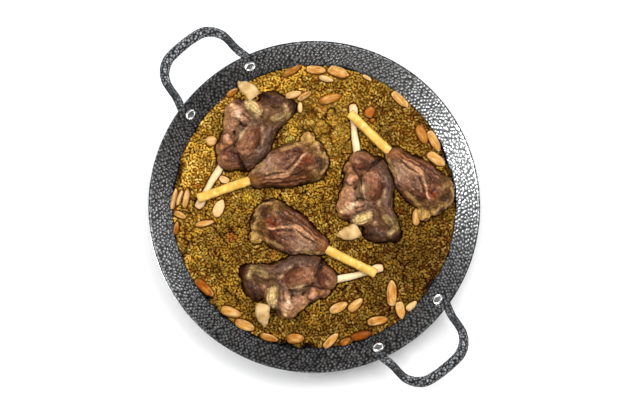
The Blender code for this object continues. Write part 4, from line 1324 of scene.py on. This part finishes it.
def core(limit, level, mushy, seam, lumps):
    """The mush under the grains, which stays below a limit where something lies in it."""
    edge = wall_radius(BED_EDGE) - CORE_GAP
    angle = math.tau * np.arange(CORE_SIDES) / CORE_SIDES
    rings = []
    for radius in np.concatenate([[0.6], np.linspace(1.8, edge, CORE_RINGS)]):
        spots = circle(radius, 0.0, angle)
        index = raster_cell(spots)
        depth = CORE_DEPTH * (1 - 0.85 * mushy[index])
        height = level[index] - depth + 0.9 * uneven(spots, 2.9, 4)
        height = np.maximum(np.minimum(height, limit[index]), CORE_FLOOR)
        reach = np.minimum(radius, wall_radius(height) - CORE_GAP)
        rings.append(circle(reach, height, angle))
    wall_end = WALL_START + WALL_SLOPE * FLOOR_FILLET
    for radius, height in ((wall_end[0] - CORE_GAP * WALL_SLOPE[1],
                            wall_end[1] + CORE_GAP * WALL_SLOPE[0] - 1.0),
                           (FLOOR_RADIUS - 3.0, SHEET + 1.9),
                           (FLOOR_RADIUS - FLOOR_FILLET, SHEET + CORE_GAP),
                           (1.0, SHEET + CORE_GAP)):
        rings.append(circle(radius, height, angle))
    points, faces = closed_rings(np.array(rings))
    index = raster_cell(points)
    grainy = uneven(points, 2.9, 4)
    # Painted light and shade: the mush is paler on the tops of its lumps, and darkest in the seams
    # and the gaps at the wall.
    tint = layered((122, 78, 12), ((82, 42, 2), 0.5 + grainy),
                   ((206, 172, 92), mushy[index] * (1.3 * lumps[index] - 0.4 + 0.6 * grainy)))
    tint = blend(stained(tint, points), SHADE_BROWN, 1.8 * seam[index])
    tint *= FOOD_SHADE * light_and_tone(points)[:, None] ** SHADE_POWERS
    material = cereal("freekeh_core", 0.75)
    piece("freekeh_core", points, faces, material, ["freekeh"], tint)


def grain_shapes(count):
    """Grains of length, width and height 1, each with a crease along its top."""
    draw = np.random.default_rng(31)
    shapes = []
    angle = math.tau * (np.arange(GRAIN_SIDES) + 0.5) / GRAIN_SIDES
    for _ in range(count):
        rings = []
        for along, radius in ((-0.32, 0.4), (0.02, 0.52), (0.34, 0.38)):
            reach = radius * draw.uniform(0.86, 1.14, GRAIN_SIDES)
            reach[1] *= 0.78
            rings.append(np.stack((along + draw.uniform(-0.04, 0.04, GRAIN_SIDES),
                                   reach * np.cos(angle), reach * np.sin(angle)), -1))
        points, faces = closed_rings(np.array(rings))
        points[-2] = (-0.5, *draw.uniform(-0.05, 0.05, 2))
        points[-1] = (0.5, *draw.uniform(-0.05, 0.05, 2))
        shapes.append(points)
    return np.array(shapes), faces


def footprints(draw, count):
    """Grains lying at random: for each, its size, how it lies, and for the cells it covers
    their offsets and the heights of its underside and upper side."""
    prints = []
    for _ in range(count):
        length, width = draw.uniform(*GRAIN_LENGTHS), draw.uniform(*GRAIN_WIDTHS)
        height = width * draw.uniform(*GRAIN_FLATNESS)
        turn = draw.uniform(0, math.tau)
        tilt = np.clip(draw.normal(0, GRAIN_TILT), -STEEPEST_TILT, STEEPEST_TILT)
        span = int(0.5 * length / RASTER) + 1
        step = np.arange(-span, span + 1) * RASTER
        along, across = own_axes(*np.meshgrid(step, step, indexing="ij"), turn)
        round_ = 1 - (2 * along / length) ** 2 - (2 * across / width) ** 2
        inside = round_ > 0
        half = 0.5 * height * np.sqrt(round_[inside])
        lean = along[inside] * math.tan(tilt)
        cells = np.argwhere(inside) - span
        prints.append(((length, width, height), (turn, tilt), cells, lean - half, lean + half))
    return prints


def settle(ceiling, limit, level, radius, direction):
    """Drops grains one at a time, each into the lowest of a few places or where it points
    away from the middle of its clump. Returns the place of each and the number of its
    footprint, and all footprints."""
    draw = np.random.default_rng(17)
    prints = footprints(draw, FOOTPRINTS)
    surface = np.maximum(np.minimum(level - CORE_DEPTH, limit), CORE_FLOOR)
    room = lowered(np.where(radius > wall_radius(BED_EDGE) - 1.0, -1.0, ceiling), 1)
    open_cells = np.argwhere((room > level - 2.5) & (level > bed_level(radius) - 5))
    order = []
    for _ in range(GRAINS):
        number = int(draw.integers(len(prints)))
        size, (turn, _), cells, under, over = prints[number]
        tried = open_cells[draw.integers(len(open_cells), size=TRIES)]
        middle = (tried[:, 0], tried[:, 1])
        index = np.clip(tried[:, None] + cells[None], 0, RASTER_COUNT - 1)
        spots = (index[..., 0], index[..., 1])
        rest = np.sort(surface[spots] - under, 1)[:, int(REST_SHARE * len(cells))]
        rest = rest - SINK * size[2]
        blocked = (rest[:, None] + over > room[spots] - 0.15).any(1)
        depth = level[middle] - (rest + 0.5 * size[2])
        depth[blocked] = -np.inf
        bend = np.sin(direction[middle] - turn) ** 2
        worth = np.where(depth > LEAST_DEPTH, depth - 0.5 * bend, depth - 100)
        best = int(np.argmax(worth))
        if depth[best] < LEAST_DEPTH:
            continue
        spot = (spots[0][best], spots[1][best])
        surface[spot] = np.maximum(surface[spot], rest[best] + over)
        place = (tried[best] + 0.5) * RASTER - RASTER_HALF
        order.append((*place, rest[best], number))
    return np.array(order), prints


def turn_each(points, one, two, angle):
    """Turns the points of each grain by its own angle, from axis one to axis two."""
    cosine, sine = np.cos(angle)[:, None], np.sin(angle)[:, None]
    first, second = points[..., one].copy(), points[..., two].copy()
    points[..., one] = first * cosine - second * sine
    points[..., two] = first * sine + second * cosine


def freekeh():
    """The bed: a core and grains of five kinds."""
    ceiling = ceiling_raster()
    level, radius, mushy, seam, direction, lumps = level_raster()
    limit = lowered(ceiling, TRENCH) - TRENCH_DEPTH
    core(limit, level, mushy, seam, lumps)
    beside = lowered(ceiling, BESIDE) < SKY
    order, prints = settle(ceiling, limit, level, radius, direction)
    draw = np.random.default_rng(23)
    shapes, faces = grain_shapes(GRAIN_SHAPES)
    spots = order[:, :3] * (1, 1, 0)
    patch = 0.7 * uneven(spots, 17, 6) + 0.5 * uneven(spots, 7, 7)
    rank = draw.random(len(order)) + patch - 0.12 * upper_left(order)
    rank = rank.argsort().argsort() / len(order)
    bounds = np.cumsum([share for _, share, _, _ in KINDS])
    member = np.minimum(np.searchsorted(bounds, rank), len(KINDS) - 1)
    above = order[:, 2] - bed_level(np.hypot(*order[:, :2].T))
    # Painted light and shade: grains lying low in the bed are darker and high ones lighter, times
    # the painted light of their place and a random tone.
    depth_shade = np.clip(1.0 + 0.14 * above, 0.5, 1.2) * light_and_tone(order)
    depth_shade *= 1 + 0.35 * uneven(spots, 6.5, 9) + 0.25 * uneven(spots, 13, 10)
    light_share = FOOD_SHADE * depth_shade[:, None] ** SHADE_POWERS
    for number, (kind, _, light, dark) in enumerate(KINDS):
        mine = member == number
        chosen = order[mine]
        sizes, lies = (np.array([prints[int(grain[3])][part] for grain in chosen])
                       for part in (0, 1))
        points = shapes[draw.integers(len(shapes), size=len(chosen))]
        turn_each(points, 1, 2, draw.uniform(0, math.tau, len(chosen)))
        points *= sizes[:, None]
        turn_each(points, 0, 2, lies[:, 1])
        turn_each(points, 0, 1, lies[:, 0])
        points += chosen[:, None, :3]
        tone = 0.5 + 0.8 * patch[mine] + draw.uniform(-0.5, 0.5, len(chosen))
        tint = blend(colour(*light), colour(*dark), tone) * light_share[mine]
        tint = np.repeat(stained(tint, chosen)[:, None], points.shape[1], 1)
        index = raster_cell(points)
        # Painted shade: each grain darkens low down between its neighbours, and in the seams.
        rise = points[..., 2] - level[index] + SHADE_DEPTH
        sunk_shade = 0.9 * np.clip(1 - rise / SHADE_DEPTH, 0, 1) ** 1.2
        sunk_shade = np.maximum(sunk_shade, 1.5 * seam[index] - 0.3)
        sunk_shade *= np.where(beside[index], 0.5, 1.0)
        tint = blend(tint, SHADE_BROWN * FOOD_SHADE, 0.78 * sunk_shade)
        tint *= (1 + 0.1 * draw.standard_normal(points.shape[:2]))[..., None]
        tint = np.clip(tint, 0.003, 0.9).reshape(-1, 3)
        piece(f"freekeh_{kind}", points.reshape(-1, 3),
              repeated(faces, points.shape[1], len(chosen)), cereal(f"freekeh_{kind}", 0.42),
              ["freekeh"], tint)


def cereal(name, roughness):
    """Moist cooked grain in its own colour."""
    return cloudy(name, (900,), (0.75, 1.2), (0.8 * roughness, 1.3 * roughness), 0.5,
                  Specular_IOR_Level=0.24, Specular_Tint=(1.0, 0.8, 0.4, 1.0))


# ---------------------------------------------------------------- stage

FLOOR_HALF = 6.0
# Lights: name, place, size, power. The fill gives no gleams, and the last three light the
# steel alone.
LIGHTS = (
    ("key", seen(0.75, 0.66, 1.55), (1.2, 1.2), 25.0),
    ("fill", seen(-0.45, 0.4, 1.9), (1.6, 1.6), 36.0),
    ("gleam_left", seen(-1.46, -0.5, 0.5), (0.38, 0.55), 760.0),
    ("gleam_right", seen(1.5, 0.35, 0.5), (1.1, 0.7), 146.0),
    ("gleam_low", seen(-0.12, -1.5, 0.5), (0.9, 0.6), 76.0),
)


def stage():
    """Plain pale floor, soft light and the camera."""
    shader = Shader("floor_paint", Roughness=0.8)
    shade = shader.vary(shader.noise(3.0, 2.0), 0.0, 1.0)
    shader.feed("Base Color", shader.mix(shade, (0.96, 0.96, 0.96), (0.98, 0.98, 0.98)))
    mesh = bpy.data.meshes.new("floor")
    mesh.from_pydata([(FLOOR_HALF * right, FLOOR_HALF * up, 0)
                      for right, up in ((-1, -1), (1, -1), (1, 1), (-1, 1))],
                     [], [(0, 1, 2, 3)])
    mesh.materials.append(shader.material)
    floor = bpy.data.objects.new("floor", mesh)
    bpy.context.collection.objects.link(floor)

    world = bpy.data.worlds.new("studio")
    world.use_nodes = True
    world.node_tree.nodes["Background"].inputs["Color"].default_value = (1.0, 1.0, 1.0, 1.0)
    world.node_tree.nodes["Background"].inputs["Strength"].default_value = 0.3
    bpy.context.scene.world = world

    aim = Vector((0, 0, RIM_HEIGHT * MM))
    for name, place, size, power in LIGHTS:
        light = bpy.data.lights.new(name, "AREA")
        light.shape = "RECTANGLE"
        light.size, light.size_y = size
        light.energy = power
        obj = bpy.data.objects.new(name, light)
        obj.location = place
        obj.rotation_euler = (aim - place).to_track_quat("-Z", "Y").to_euler()
        obj.visible_camera = False
        obj.visible_glossy = name != "fill"
        obj.visible_diffuse = not name.startswith("gleam")
        if name.startswith("gleam"):
            obj.light_linking.receiver_collection = steel
            obj.light_linking.blocker_collection = steel
        bpy.context.collection.objects.link(obj)

    camera = bpy.data.cameras.new("camera")
    camera.sensor_width = 36.0
    camera.lens = camera.sensor_width * EYE_HEIGHT / (PLAN_WIDTH * PLAN_STEP)
    eye = bpy.data.objects.new("camera", camera)
    spot = plan(EYE_PLACE, RIM_HEIGHT) * MM
    eye.location = (spot.x, spot.y, (RIM_HEIGHT + EYE_HEIGHT) * MM)
    eye.rotation_euler = (0, 0, HANDLE_TURN)
    bpy.context.collection.objects.link(eye)
    bpy.context.scene.camera = eye
    bpy.context.scene.view_settings.view_transform = "Standard"


steel = bpy.data.collections.new("steel")
stage()
pan()
handle_steel = dark_steel("handle_steel")
handle("handle_1", 0.0, handle_steel)
handle("handle_2", math.pi, handle_steel)
rivets()
toppings = []                   # points of everything that lies on the freekeh
meats()
bones()
almonds()
freekeh()
